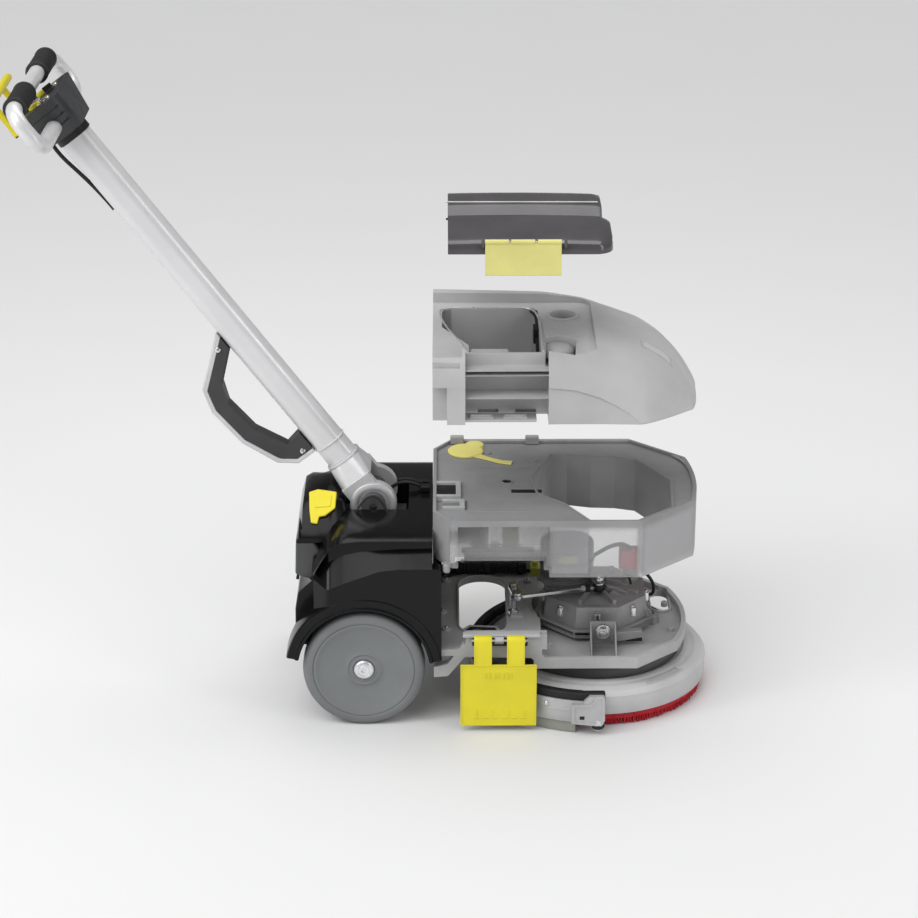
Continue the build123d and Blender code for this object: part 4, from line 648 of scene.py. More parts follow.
lid_stations = steps_between(LID_REAR, 380, 16)
lid_stations += [382 + 30 * math.sin(0.5 * math.pi * index / 10) for index in range(1, 10)]
lid_stations.append(LID_FRONT - 0.15)
lid_form = skin([lid_ring(x) for x in lid_stations])
hollow = skin([[(x, y, z if z > 830 else 820) for x, y, z in lid_ring(x, 4)]
               for x in steps_between(LID_REAR + 4, 376, 16)])
front_step = block((400, -9, 820), (430, 130, 880))
piece("lid_cover", carve(lid_form, hollow, front_step), "lid_dark", "cover", bevel=1.0, crease=28,
      stands_for=("lid",))
for end_x in (198, 331):
    piece("flap_lug_%d" % end_x, prism([(-140, 837), (-149, 848), (-150, 853), (-147, 856), (-140, 848)],
                                       end_x, end_x + 5, "X"), "lid_dark", "cover", bevel=0.8)
rod("flap_wire", [(198, -146, 852), (336, -146, 852)], 1.5, "bolt_zinc", "cover", smooth=False)
flap_sheet = [(-147.6, 852), (-147.9, 846), (-147.9, 836), (-148.6, 822), (-149.8, 806), (-151, 797),
              (-150, 796), (-148.2, 798), (-147, 808), (-146.0, 822), (-145.4, 836), (-145.4, 846)]
pale_flap = surface("flap_pale", (0.74, 0.70, 0.24), 0.35, variation=0.05, edge_highlight=1.1)
pale_flap.surface.inputs["Alpha"].default_value = 0.90
piece("lid_flap_sheet", prism(flap_sheet, 204, 327, "X"), "flap_yellow", "cover_flap", bevel=0.6,
      stands_for=("lid_flap",), look=pale_flap.material)
for start in (204, 246, 289):
    turned_piece("lid_flap_curl_%d" % start, square(1.7, 3.9, start, start + 38), (-146, 852),
                 "flap_yellow", "cover_flap", axis="X", steps=24, look=pale_flap.material)

# painted highlight: a bright rod along the lid's ridge; painted shade: a black rod in the groove between
# the lid's halves
rod("lid_ridge_highlight", [(141, 31, 866.4), (250, 31, 866.4), (394, 31, 866.0)], 1.5, "knuckle_silver", "cover")
rod("lid_groove_shade", [(141, -10.5, 849.6), (250, -10.5, 849.6), (398, -10.5, 849.4)], 1.9, "inner_black",
    "cover")

# slotted foot flange of the near recess
FLANGE_SLOTS, SLOT_LONG = (182, 237), 34
slots = [block((x, -168, 548), (x + SLOT_LONG, -158, 562)) for x in FLANGE_SLOTS]
flange = carve(block((165, -176, SHELL_BOTTOM), (289, -144, SHELL_BOTTOM + 4.5)), *slots)
piece("recess_flange_near", flange, "shell_grey", "shell", bevel=1.2)
for number, x in enumerate(FLANGE_SLOTS):
    rim = carve(block((x - 3, -171, 556), (x + SLOT_LONG + 3, -155, 559.6)),
                block((x, -168, 548), (x + SLOT_LONG, -158, 565)))
    piece("flange_rim_near_%d" % number, rim, "ring_grey", "shell", bevel=0.7)
dome = [(27, 638), (27, 646), (25, 650), (20, 653), (12, 655), (0, 655.6), (0, 638)]
turned_piece("float_dome", dome, (326, -84), "shell_grey", "shell", steps=48, crease=50)

# raised edge round the mouth, in bright silver as a painted highlight along the mouth's rim
lip_points = [(130, 68), (136, 80), (149, 84), (289, 84), (301, 74), (301, -138)]
rod("mouth_highlight", [(x, y, 663) for x, y in lip_points], 1.6, "cap_silver", "shell")
rod("mouth_highlight_low", [(130, 68, 663), (130, -14, 663), (174, -106, 663), (174, -138, 663)], 1.6,
    "cap_silver", "shell")

# ========== Fresh water tank: the near side is shown as clear plastic ==========
tank_look = surface("tank_ghosted", LOOKS["tank_grey"]["colour"], 0.46, variation=0.07, edge_highlight=1.7)
tank_spot = tank_look.node("ShaderNodeSeparateXYZ", {"Vector": tank_look.place})
CLEAR_SIDE, CLEAR_NOSE = 0.34, 0.72       # how solid the clear side and the nose in front of it look
near_part = tank_look.ramp(tank_spot.outputs["Y"], -0.050, -0.100)
below_panel = tank_look.ramp(tank_spot.outputs["Z"], 0.3725, 0.3600)
nose_part = tank_look.ramp(tank_spot.outputs["X"], 0.455, 0.475, CLEAR_SIDE, CLEAR_NOSE)
rear_part = tank_look.ramp(tank_spot.outputs["X"], 0.143, 0.147)
low_part = tank_look.node("ShaderNodeMath", {0: near_part, 1: below_panel}, operation="MULTIPLY").outputs[0]
clear_part = tank_look.node("ShaderNodeMath", {0: low_part, 1: rear_part}, operation="MULTIPLY").outputs[0]
tank_alpha = tank_look.node("ShaderNodeMix", {0: clear_part, 2: 1.0, 3: nose_part}).outputs[0]
tank_look.link(tank_alpha, "Alpha")
solid_colour = tank_look.surface.inputs["Base Color"].links[0].from_socket
pale_amount = tank_look.ramp(clear_part, 0, 1, 0, 0.85)
tank_look.link(tank_look.mix(pale_amount, solid_colour, (0.50, 0.50, 0.51, 1)), "Base Color")
nodes["fresh_tank"].data.materials[0] = tank_look.material

PANEL_Z, RIM_Z = 375, 380.5

# far rim: raised beads with two catches, painted in the lighter deck grey for the light showing through the
# far rim and its highlights
for number, (start, end) in enumerate(((146, 286), (304, 470))):
    piece("far_bead_%d" % number, block((start, 178, PANEL_Z), (end, 184.5, RIM_Z + 0.3)), "deck_grey",
          "tank", bevel=1.6, rounds=3)
for number, x in enumerate((160, 294)):
    piece("far_catch_%d" % number, block((x - 12, 172, PANEL_Z), (x + 12, 185, RIM_Z + 9)), "deck_grey",
          "tank", bevel=2)
BEAD_Z = 378
# painted light: the nose bead also takes the lighter deck grey of the rim
nose_run = [(470, 181), (520, 138), (556, 98), (565, 50), (567, 0), (565, -50), (557, -94)]
rod("nose_bead", [(x, y, BEAD_Z) for x, y in nose_run], 2.4, "deck_grey", "tank")

# raised frames round the rear notches, painted lighter grey for their highlights; the darker floors in the
# notches and the slot are painted shade
for number, (x0, y0, x1, y1) in enumerate(((122, -76, 166, -8), (134, -126, 172, -88))):
    outer = block((x0, y0, PANEL_Z - 1), (x1, y1, PANEL_Z + 5.5))
    inner = block((x0 - 10, y0 + 8, PANEL_Z - 5), (x1 - 9, y1 - 8, PANEL_Z + 9))
    piece("notch_frame_%d" % number, carve(outer, inner), "deck_grey", "tank", bevel=1.2)
    # painted shade: the notch floors take darker colours than the panel
    notch = block((x0 + 0.5, y0 + 8, PANEL_Z - 4), (x1 - 9, y1 - 8, PANEL_Z + 0.4))
    slot = ("inner_black", "rim_grey")[number]
    piece("notch_shade_%d" % number, notch, slot, "tank", bevel=0.4)
slot_outline = [(251, -58), (305, -58), (307, -56), (307, -36), (305, -34), (251, -34), (249, -36),
                (249, -56)]
slot_form = carve(prism(slot_outline, PANEL_Z - 0.5, PANEL_Z + 1.8),
                  block((252, -55, PANEL_Z - 2), (304, -37, PANEL_Z + 4)))
piece("slot_rim", slot_form, "tank_grey", "tank", bevel=0.5)
# painted shade: a black floor in the shallow slot
piece("slot_shade", block((252, -55.2, PANEL_Z - 1), (304, -36.8, PANEL_Z + 0.3)), "inner_black", "tank",
      bevel=0.1)
# painted shade: a black disc for the dark inside of the vent hole
turned_piece("vent_hole_shade", [(0, 372), (8.3, 372), (8.3, 375.6), (5.5, 376.4), (4.5, 374.4), (0, 374.4)],
             (245, -2), "inner_black", "tank", steps=32)
well_lip = [(326, 124), (355, 124), (396, 112), (439, 109), (474, 97), (526, 0), (520, -116), (456, -174),
            (384, -176), (341, -97), (299, -56), (289, 15)]
middle = Vector((400, -20))
wide = [tuple(middle + (Vector(point) - middle) * 1.045) for point in well_lip]
narrow = [tuple(middle + (Vector(point) - middle) * 1.004) for point in well_lip]
lip_form = carve(prism(wide, PANEL_Z - 0.5, PANEL_Z + 2.0), prism(narrow, PANEL_Z - 5, PANEL_Z + 6))
piece("well_lip", lip_form, "tank_grey", "tank", bevel=0.9, rounds=2)

# ribs and bosses moulded in the panel
for number, (x, y, radius) in enumerate(((245, -2, 12), (214, 130, 7), (292, 96, 9))):
    bore = 8.4 if number == 0 else 0
    panel_boss = lathe([(bore, PANEL_Z - 1), (radius, PANEL_Z - 1), (radius - 0.6, PANEL_Z + 1.8),
                  (bore, PANEL_Z + 1.8)], (x, y), "Z", 40)
    piece("panel_boss_%d" % number, panel_boss, "tank_grey", "tank", crease=40)
for number, y in enumerate((-134, 58)):
    piece("panel_rib_%d" % number, block((172, y, PANEL_Z - 0.6), (286, y + 3, PANEL_Z + 1.2)), "tank_grey",
          "tank", bevel=0.8)

# cap with its strap
cap_disc = [(0, 374.6), (30, 374.6), (31.5, 375.6), (31.6, 378), (30, 379.6), (26, 380.3), (0, 380.7)]
turned_piece("cap_disc", cap_disc, TANK_HOLE, "cap_yellow", "cap", steps=96, stands_for=("tank_cap",))
turned_piece("cap_plug", square(9, 11.5, 365, 375), TANK_HOLE, "cap_yellow", "cap", steps=48)
bump = skin([[(191 + x, 164 + y, z) for x, y in disc((0, 0), 17 * share, 36)]
             for z, share in ((375.2, 1.0), (378.4, 1.0), (380, 0.9), (380.7, 0.6))])
piece("cap_tongue", bump, "cap_yellow", "cap", crease=50)
strap_path = [(192, 118), (206, 108), (222, 96), (238, 86), (256, 82)]
strap_rings = []
for index, (x, y) in enumerate(strap_path):
    ahead = Vector(strap_path[min(index + 1, 4)]) - Vector(strap_path[max(index - 1, 0)])
    across = Vector((-ahead.y, ahead.x)).normalized() * (9, 6.5, 5.5, 6.5, 8)[index]
    strap_rings.append([(x - across.x, y - across.y, 375.2), (x - across.x, y - across.y, 377.6),
                        (x + across.x, y + across.y, 377.6), (x + across.x, y + across.y, 375.2)])
piece("cap_strap", skin(strap_rings), "cap_yellow", "cap", bevel=0.8, crease=50)

# rounded foot of the tank's rear corners, in front of the housing's cheeks
for side, name in SIDES:
    foot = side_block(side, (134.6, 148, 282), (147, 181, 300))
    piece("tank_foot_" + name, foot, "tank_grey", "tank", bevel=5, rounds=4)

# ========== Deck, steering and casting ==========
EDGES = {                     # width of the rounding along each CAD node's edges, in millimetres
    0.4: "lid_flap",
    0.5: "squeegee_blades",
    0.6: "steering_link steering_post swivel_tube",
    0.7: "stop_bracket",
    0.8: "motor_connector key_switch stop_bolt",
    1.0: "squeegee_strap drive_lever pocket_bracket fresh_tank "
         "water_button suction_button head_neck water_valve brush_plate",
    1.2: "shroud_ring squeegee_bar",
    1.4: "chassis_deck",
    1.5: "swivel_drum handle_pedestal",
    1.6: "handle_fork",
    2.0: "carry_spine battery_pack suction_turbine",
    2.5: "carry_grip",
    3.0: "console_housing",
}
WELD_GAP = 1e-5


def round_node(node, width, rounds=2):
    """Rounds the edges of a CAD node."""
    weld = nodes[node].modifiers.new("weld", "WELD")
    weld.merge_threshold = WELD_GAP
    soften(nodes[node], width, rounds)


for width, names in EDGES.items():
    for node in names.split():
        round_node(node, width)

# corrugated suction hose along the far side, with its elbow at the rear end
HOSE_REAR, HOSE_LONG, FOLDS = 150, 135, 54
folds = [(10.9 if index % 2 else 9.0, HOSE_REAR + HOSE_LONG * index / FOLDS) for index in range(FOLDS + 1)]
turned_piece("hose_bellows", [(7.5, HOSE_REAR)] + folds + [(7.5, HOSE_REAR + HOSE_LONG)], HOSE,
             "hose_rubber", "chassis", axis="X", crease=60, stands_for=("suction_hose",))
rod("hose_elbow", [(152, 132, 152), (140, 131, 152), (126, 124, 148), (112, 108, 144)], 9.5, "hose_rubber",
    "chassis")
for x in (162, 214, 273):
    turned_piece("hose_clamp_%d" % x, square(10.6, 12.4, x - 4, x + 4), HOSE, "inner_black", "chassis",
                 axis="X")
# painted shade: a black rod along the platform's far rim for the shaded inner wall of the rim
rod("rim_wall_shade", [(130, 96, 142), (150, 128, 142.5), (176, 150, 143), (286, 150, 143), (302, 132, 142)], 3.2,
    "hose_rubber", "chassis")

# bosses, ribs and screws on the platform
for number, (x, y) in enumerate(((140, -100), (286, 96), (286, -150), (140, 100), (134, -30))):
    turned_piece("deck_screw_boss_%d" % number, [(3.4, 139), (8, 139), (7.2, 145), (3.4, 145)], (x, y),
                 "deck_grey", "chassis", steps=32)
    head = carve(lathe([(0, 141), (3.3, 141), (3.3, 145.6), (2.4, 146.8), (0, 147)], (x, y), "Z", 24),
                 block((x - 2.2, y - 0.5, 145.6), (x + 2.2, y + 0.5, 149)),
                 block((x - 0.5, y - 2.2, 145.6), (x + 0.5, y + 2.2, 149)))
    piece("deck_screw_%d" % number, head, "bolt_zinc", "chassis", crease=40)
HOLE_X, HOLE_Y, RIM_LOW, RIM_HIGH = 203.5, 80, 139.5, 142.6    # service hole through the platform
rim = [(40.5, RIM_LOW), (44.5, RIM_LOW), (44.0, RIM_HIGH), (41.2, RIM_HIGH)]
for side, name in SIDES:
    start = 0 if side > 0 else 180
    turned_piece("service_rim_" + name, rim, (HOLE_X, side * HOLE_Y), "deck_grey", "chassis", steps=48,
                 first=start, last=start + 180)
for side, name in ((-1, "rear"), (1, "front")):
    middle_x = HOLE_X + side * 42.5
    bar = block((middle_x - 1.8, -HOLE_Y, RIM_LOW), (middle_x + 1.8, HOLE_Y, RIM_HIGH))
    piece("service_rim_" + name, bar, "deck_grey", "chassis", bevel=0.6)
turned_piece("pan_wall", square(110.5, 113.5, 113, 141.5), HEAD, "deck_grey", "chassis", steps=64,
             first=158, last=202)
boss = [(0, 111), (6, 111), (5.4, 119), (3, 119.6), (2.6, 117), (0, 117)]
for number, turn in enumerate((-150, -128, -20, 24, 52, 128, 150)):
    turned_piece("pan_boss_%d" % number, boss, ring_spot(140, turn), "deck_grey", "chassis", steps=28)


def oval(radius):
    """Long hole at the front of the pan, seen from above."""
    return [(521 + radius * math.cos(turn), 70 + side * 26 + radius * math.sin(turn))
            for side, first in ((1, 0), (-1, math.pi))
            for turn in [first + math.pi * step / 16 for step in range(17)]]


piece("oval_rim", carve(prism(oval(20), 111, 116), prism(oval(16.2), 100, 130)), "deck_grey", "chassis",
      bevel=0.9)

# pocket bracket with its collars and bolts; its black tray is painted shade inside the pocket
pocket = [(164, -121), (243, -121), (240, -108), (228, -72), (180, -68), (168, -84)]
pocket_bed = [(169, -117), (237, -117), (234, -108), (224, -77), (182, -73), (173, -86)]
piece("pocket_shade", carve(prism(pocket, 127, 133), prism(pocket_bed, 129.5, 140)), "inner_black",
      "chassis", bevel=2, rounds=3)
piece("pocket_lip", carve(prism(pocket, 132.5, 134.2), prism(pocket_bed, 129, 140)), "deck_grey", "chassis",
      bevel=0.8)
for number, (x, y, slot, radius) in enumerate(((193, -92, "bush_brass", 12), (221, -98, "bolt_zinc", 8))):
    bore = radius * 0.62
    collar = [(bore, 129), (radius, 129), (radius, 131.4), (radius * 0.86, 132.6), (bore, 132.6)]
    turned_piece("pocket_collar_%d" % number, collar, (x, y), slot, "chassis")
    piece("pocket_bolt_%d" % number, prism(disc((x, y), radius * 0.55, 6), 129, 133.8), slot, "chassis",
          bevel=0.8)

# ends of the steering link
POST, POST_END = (257, -40), (262.3, -67.3)
turned_piece("post_collar", [(6.2, 142), (10, 142), (10, 150), (8, 152), (6.2, 152)], POST, "bolt_zinc",
             "chassis")
piece("post_nut", prism(disc(POST, 8.5, 6), 196, 202), "bolt_zinc", "post", bevel=0.8)
HEAD_END = (406.3, -27.3)
turned_piece("link_ball", [(0, 196), (4, 196), (7.5, 199), (8.4, 203), (7.2, 207), (4, 209.5), (0, 210)],
             HEAD_END, "bolt_zinc", "swivel", crease=50)
turned_piece("link_socket", [(4.2, 180), (9.5, 180.5), (11, 184), (11, 191), (9, 194), (4.2, 194)],
             HEAD_END, "inner_black", "swivel")
run = Vector(HEAD_END) - Vector(POST_END)
for number, share in enumerate((0.80, 0.86)):
    spot = Vector(POST_END) + run * share
    nut = prism(disc((0, 0), 6.5 + number, 6), -4, 4)
    nut_place = (Matrix.Translation(mm(spot.x, spot.y, 187.2))
                 @ Matrix.Rotation(math.atan2(run.y, run.x), 4, "Z") @ Matrix.Rotation(math.pi / 2, 4, "Y"))
    piece("link_nut_%d" % number, moved(nut, nut_place), ("bolt_zinc", "inner_black")[number], "link",
          bevel=0.7)
eye = [(4.2, 183.5), (9.6, 183.5), (10.4, 185.5), (10.4, 189), (9.6, 191), (4.2, 191)]
for name, spot in (("rear", POST_END), ("front", HEAD_END)):
    turned_piece("link_eye_" + name, eye, spot, "steel", "link")


def octagon(radius):
    """Outline of the casting, seen from above."""
    return disc(HEAD, radius, 8, math.pi / 8)


# casting: two-tier octagon with a flanged edge, cast ribs, braces and screws
tiers = [(105, 126), (105, 133), (99, 135), (96, 137), (94, 158), (92, 161), (88, 161), (84, 162),
         (80, 174), (76, 175.5)]
case_form = skin([[(x, y, z) for x, y in octagon(radius)] for radius, z in tiers])
piece("case_shell", case_form, "cast_metal", "chassis", bevel=1.6, rounds=3, crease=25)
piece("case_flange", carve(prism(octagon(107), 133, 137), prism(octagon(100), 120, 150)), "cast_metal",
      "chassis", bevel=1.0)
for number in range(8):
    turn = math.radians(45 * number)
    spoke = skin([[(out, -3.4, low), (out, 3.4, low), (out, 2.4, high), (out, -2.4, high)]
                  for out, low, high in ((26, 174, 180), (60, 174, 179), (84, 158, 166), (97, 136, 140))])
    spoke_place = Matrix.Translation(mm(*HEAD, 0)) @ Matrix.Rotation(turn + math.pi / 8, 4, "Z")
    piece("case_rib_%d" % number, moved(spoke, spoke_place), "cast_metal", "chassis", bevel=1.2)
    corner = Vector(HEAD) + Vector((math.cos(turn), math.sin(turn))) * 88
    screw = joined(lathe([(0, 150), (7.5, 150), (6.5, 165), (0, 165)], corner, "Z", 28),
                   prism(disc(corner, 4.6, 6), 165, 169))
    piece("case_screw_%d" % number, screw, "bolt_zinc", "chassis", bevel=0.5)
turned_piece("case_hub", [(9, 174), (30, 174), (28, 178), (20, 179.5), (16, 180.5), (11, 180.5), (9, 180)],
             HEAD, "cast_metal", "chassis", steps=56, crease=35)
for number, shift in enumerate((-26, 6)):
    brace = skin([[(x, shift - half, low), (x, shift + half, low), (x, shift + half * 0.7, high),
                   (x, shift - half * 0.7, high)]
                  for x, half, low, high in ((420, 4.5, 176, 190), (440, 4, 171, 186), (466, 4, 158, 172),
                                          (488, 4, 142, 154), (500, 5, 124, 136))])
    piece("case_brace_%d" % number, brace, "cast_metal", "chassis", bevel=1.4, crease=40)
turned_piece("brace_foot", [(4, 112), (13, 112), (11, 126), (7, 129), (4, 129)], (502, -10), "cast_metal",
             "chassis", steps=32)
arm = skin([[(x, near, low), (x, far, low), (x, far, high), (x, near, high)]
            for x, near, far, low, high in ((422, -116, -100, 122, 140), (446, -112, -96, 124, 141),
                                            (478, -108, -94, 128, 141))])
piece("case_arm", arm, "cast_metal", "chassis", bevel=1.5)
# painted shade: a black block under the arm for its shaded underside
piece("arm_underside_shade", block((450, -107, 120), (478, -94, 128)), "inner_black", "chassis", bevel=1.5)
NUT = (409.5, 143)            # bolt on the near side of the casting, seen from the side
nut_steps = [(13.5, 40, -117.5, -115), (10.2, 6, -123.5, -117.5), (4.6, 24, -126.5, -123.5)]
nut_parts = [prism(disc(NUT, radius, sides), low, high, "Y") for radius, sides, low, high in nut_steps]
piece("bracket_bolt_head", joined(*nut_parts), "bolt_zinc", "chassis", bevel=0.8, stands_for=("stop_bolt",))

# cables over the casting
rod("motor_cable", [(468, 40, 226), (458, 44, 240), (430, 48, 236), (400, 44, 214), (384, 40, 206)], 3.6,
    "hose_rubber", "chassis")
rod("sensor_cable", [(446, 36, 196), (456, 26, 198), (462, 12, 190), (464, 0, 180)], 2.2, "hose_rubber",
    "chassis")
rod("pan_cable", [(484, 36, 192), (502, 30, 180), (512, 40, 150), (506, 60, 128), (490, 92, 118)], 3.0,
    "hose_rubber", "chassis")

# drive motor: finned body with a cap and a plain plate
MOTOR = (353, 36)
body_profile = [(0, 175), (48, 175), (48, 184), (47, 184.5)]
for fin in range(5):
    z = 188 + fin * 2.6
    body_profile += [(47, z), (45.6, z + 0.5), (45.6, z + 1.3), (47, z + 1.8)]
body_profile += [(47, 238), (46.4, 239), (46.4, 241), (47, 242), (46.2, 247.5), (43, 250), (30, 250.6),
                 (0, 250.8)]
turned_piece("motor_body", body_profile, MOTOR, "motor_grey", "chassis", steps=96,
             stands_for=("drive_motor",))
turned_piece("motor_strap", square(46.8, 48.4, 216, 222), MOTOR, "inner_black", "chassis", steps=96)
turned_piece("motor_plate", square(46.9, 47.5, 224, 238), MOTOR, "cap_yellow", "chassis", steps=24,
             first=250, last=290)

# ========== Side flaps, brush and squeegee ==========
random.seed(7)
FLAP_X0, FLAP_X1 = 164, 293
HINGE_Y, HINGE_Z = 200, 168
TABS = (202, 257.5)


def flap_details(side, up, name, body):
    """Raised border, generic tick marks and pads on the outer face of a side flap."""
    outward = side if up < 0 else -side
    face_y = side * HINGE_Y + outward * 9

    def on_face(x0, x1, drop0, drop1, height=1.1):
        """Raised mark between two places along the flap and two distances from its hinge."""
        heights = sorted((HINGE_Z + up * drop0, HINGE_Z + up * drop1))
        depths = sorted((face_y - outward * 0.3, face_y + outward * height))
        return block((x0, depths[0], heights[0]), (x1, depths[1], heights[1]))

    frame_parts = [on_face(FLAP_X0, FLAP_X1, 42, 44.4), on_face(FLAP_X0, FLAP_X1, 153.6, 156),
                   on_face(FLAP_X0, FLAP_X0 + 2.4, 44.4, 153.6),
                   on_face(FLAP_X1 - 2.4, FLAP_X1, 44.4, 153.6)]
    piece("flap_border_" + name, joined(*frame_parts), "flap_yellow", body, bevel=0.3)
    ticks = [on_face(204 + 7.5 * number, 206.2 + 7.5 * number + random.uniform(0, 2.6),
                     58 - (number % 2) * 2, 66 + (number % 3), 1.3) for number in range(7)]
    ticks += [on_face(186 + 16 * number, 195 + 16 * number, 140, 142.4, 1.2) for number in range(6)]
    ticks += [on_face(190 + 27 * number, 193 + 27 * number, 128, 136, 1.2) for number in range(4)]
    piece("flap_marks_" + name, joined(*ticks), "flap_yellow", body, bevel=0.25)
    tabs = [on_face(x - 15, x - 13, 6, 42, 1.0) for x in TABS]
    tabs += [on_face(x + 13, x + 15, 6, 42, 1.0) for x in TABS]
    piece("flap_tab_ribs_" + name, joined(*tabs), "flap_yellow", body, bevel=0.3)


flap_details(-1, -1, "near", "flap_near")
flap_details(1, 1, "far", "flap_far")
for node in ("side_flap_near", "side_flap_far"):
    round_node(node, 0.8, 3)

# hinge ridge: bright bead above a black plate that paints the shade of the recess the flap's tabs turn in
for side, name in SIDES:
    piece("ridge_bead_" + name, side_block(side, (168, 168, 164), (300, 184, 170.5)), "shell_grey",
          "chassis", bevel=2.2, rounds=3)
    piece("hinge_shade_" + name, side_block(side, (184, 178.2, 148), (278, 181.5, 164)), "inner_black",
          "chassis", bevel=1.5)
    bolt_heads = [prism(disc((x, 158), 3.6, 6), *sorted((side * 181, side * 185)), "Y")
                  for x in (190, 229.8, 272)]
    piece("hinge_bolts_" + name, joined(*bolt_heads), "bolt_zinc", "chassis", bevel=0.5)

# bristles: tufts in rings, the outer rings finer and ragged at the tips
tufts = bmesh.new()
BRUSH = Vector((*HEAD, 0))
BRUSH_RIM = 187.6
tuft_rings = [(187.2, 4.4, 2.6), (184.0, 4.6, 2.6), (179, 6.5, 3.2), (168, 10, 4.2)]
tuft_rings += [(radius, 12, 4.6) for radius in range(155, 102, -13)]
for radius, gap, thick in tuft_rings:
    count = int(2 * math.pi * radius / gap)
    for number in range(count):
        turn = 2 * math.pi * (number + random.uniform(-0.2, 0.2)) / count
        root = BRUSH + Vector((math.cos(turn), math.sin(turn), 0)) * radius
        lean = Vector((random.uniform(-1.5, 1.5), random.uniform(-1.5, 1.5), 0))
        tip_z = random.uniform(1.0, 3.2)
        rows = []
        for share, z, flare in ((0, 31, 0.75), (1, tip_z, 1.15)):
            centre = root + lean * share
            if (centre - BRUSH).length > BRUSH_RIM:
                centre = BRUSH + (centre - BRUSH).normalized() * BRUSH_RIM
            section = disc(centre, thick * flare * 0.5, 6, turn)
            rows.append([tufts.verts.new(mm(x, y, z)) for x, y in section])
        for corner in range(6):
            after = (corner + 1) % 6
            tufts.faces.new((rows[0][corner], rows[0][after], rows[1][after], rows[1][corner]))
        tufts.faces.new(rows[0])
        tufts.faces.new(rows[1])
bmesh.ops.recalc_face_normals(tufts, faces=tufts.faces)
tuft_mesh = bpy.data.meshes.new("tufts")
tufts.to_mesh(tuft_mesh)
tufts.free()
piece("bristle_tufts", tuft_mesh, "brush_red", "brush", crease=70, stands_for=("brush_bristles",))
turned_piece("bristle_band", [(178, 12), (187.4, 12), (188, 16), (188, 31), (178, 31)], HEAD, "brush_red",
             "brush", steps=128)

# brush ring: stepped bead and bright pocket edges on its shoulder
turned_piece("ring_bead", [(188, 57), (195.2, 55.5), (196.3, 58), (194.5, 60.5), (189, 63.5)], HEAD,
             "ring_grey", "swivel", steps=160, crease=50)
turned_piece("ring_step", [(158, 69), (171, 69), (171, 72.4), (169.6, 73.4), (158, 73.4)], HEAD,
             "ring_grey", "swivel", steps=160)
turned_piece("pocket_edge", [(183.4, 67), (186.4, 66), (186.4, 70.6), (183.4, 70.6)], HEAD, "shell_grey",
             "swivel", steps=30, first=-63, last=-37, crease=32, bevel=0.6)

# squeegee: stepped end plates, a dark inspection square, bright end bolts and the end rollers
roller = [(4.2, 12.2), (9.5, 12.2), (11, 14), (11, 19.5), (9.5, 21.3), (4.2, 21.3)]
for side, name in SIDES:
    def flat(points, inner, outer):
        """Outline seen from the side, between two distances from the middle."""
        return prism(points, *sorted((side * inner, side * outer)), "Y")

    plate = [(352, 24), (352, 60), (384, 60), (392, 72), (400, 75), (408, 74), (409, 30), (405, 22),
             (390, 20)]
    piece("end_plate_" + name, flat(plate, 218, 227.4), "squeegee_silver", "squeegee", bevel=1.8, rounds=3)
    inner = [(358, 28), (358, 55), (386, 55), (394, 68), (403, 69), (404, 32), (400, 27)]
    raised = carve(flat(plate, 226.8, 228.4), flat(inner, 220, 232))
    piece("end_plate_rim_" + name, raised, "squeegee_silver", "squeegee", bevel=0.5)
    bolt = [(0, 224), (7.5, 224), (7.5, 226), (6.4, 228), (3, 228.6), (0, 228.6)]
    turned_piece("end_bolt_" + name, [(radius, side * out) for radius, out in bolt], (398, 24), "bolt_zinc",
                 "squeegee", axis="Y", steps=32)
    piece("end_slot_" + name, flat([(366, 32), (366, 38), (374, 38), (374, 32)], 226.9, 228.2),
          "inner_black", "squeegee", bevel=0.3)
    turned_piece("roller_tyre_" + name, roller, (398, side * 218), "hose_rubber", "end_roller_" + name,
                 stands_for=("roller_" + name,))
turned_piece("strap_band", [(204.5, 62), (218.5, 62), (219.2, 64), (219.2, 74), (217.5, 76), (206, 76),
                            (204.5, 74)], HEAD, "hose_rubber", "squeegee", steps=120, first=98, last=262,
             stands_for=("squeegee_strap",))
for side, name in SIDES:
    piece("strap_end_" + name, side_block(side, (370, 205, 60), (409.6, 217.6, 77)), "hose_rubber",
          "squeegee", bevel=3, rounds=3)
turned_piece("squeegee_seam", [(221.6, 42), (222.8, 42.4), (222.8, 44.4), (221.6, 44.8)], HEAD,
             "squeegee_silver", "squeegee", steps=120, first=96, last=264)
for number, turn in enumerate((114, 138, 162, 180, 198, 222, 246)):
    spot = ring_spot(222, turn)
    knob = moved(lathe([(0, -1), (4, -1), (4, 2.4), (2.6, 3.6), (0, 3.6)], (0, 0), "Z", 24),
                 Matrix.Translation(mm(*spot, 52)) @ Matrix.Rotation(math.radians(turn), 4, "Z")
                 @ Matrix.Rotation(math.pi / 2, 4, "Y"))
    piece("squeegee_screw_%d" % number, knob, "bolt_zinc", "squeegee", crease=40)

# ========== Handle, carry grip and console ==========
LEAN = math.radians(52.9)
UP = Vector((-math.cos(LEAN), 0, math.sin(LEAN)))
BACK = Vector((-math.sin(LEAN), 0, -math.cos(LEAN)))
TUBE_END = 814
GRIP_ALONG = TUBE_END + 96    # the handlebar's grips


def on_handle(along, below=0.0, across=0.0):
    """Point on the handle: distance along the tube, behind its axis and to the far side."""
    return PIVOT + UP * along + BACK * below + Vector((0, across, 0))


HANDLE_PLACE = Matrix((Vector((0, 1, 0)), BACK * -1, UP)).transposed().to_4x4()


def on_tube(mesh, along, below=0.0, across=0.0):
    """Mesh built with X to the far side, Y to the front of the handle and Z along it, put in place."""
    spot = on_handle(along, below, across)
    return moved(mesh, Matrix.Translation(mm(*spot)) @ HANDLE_PLACE)


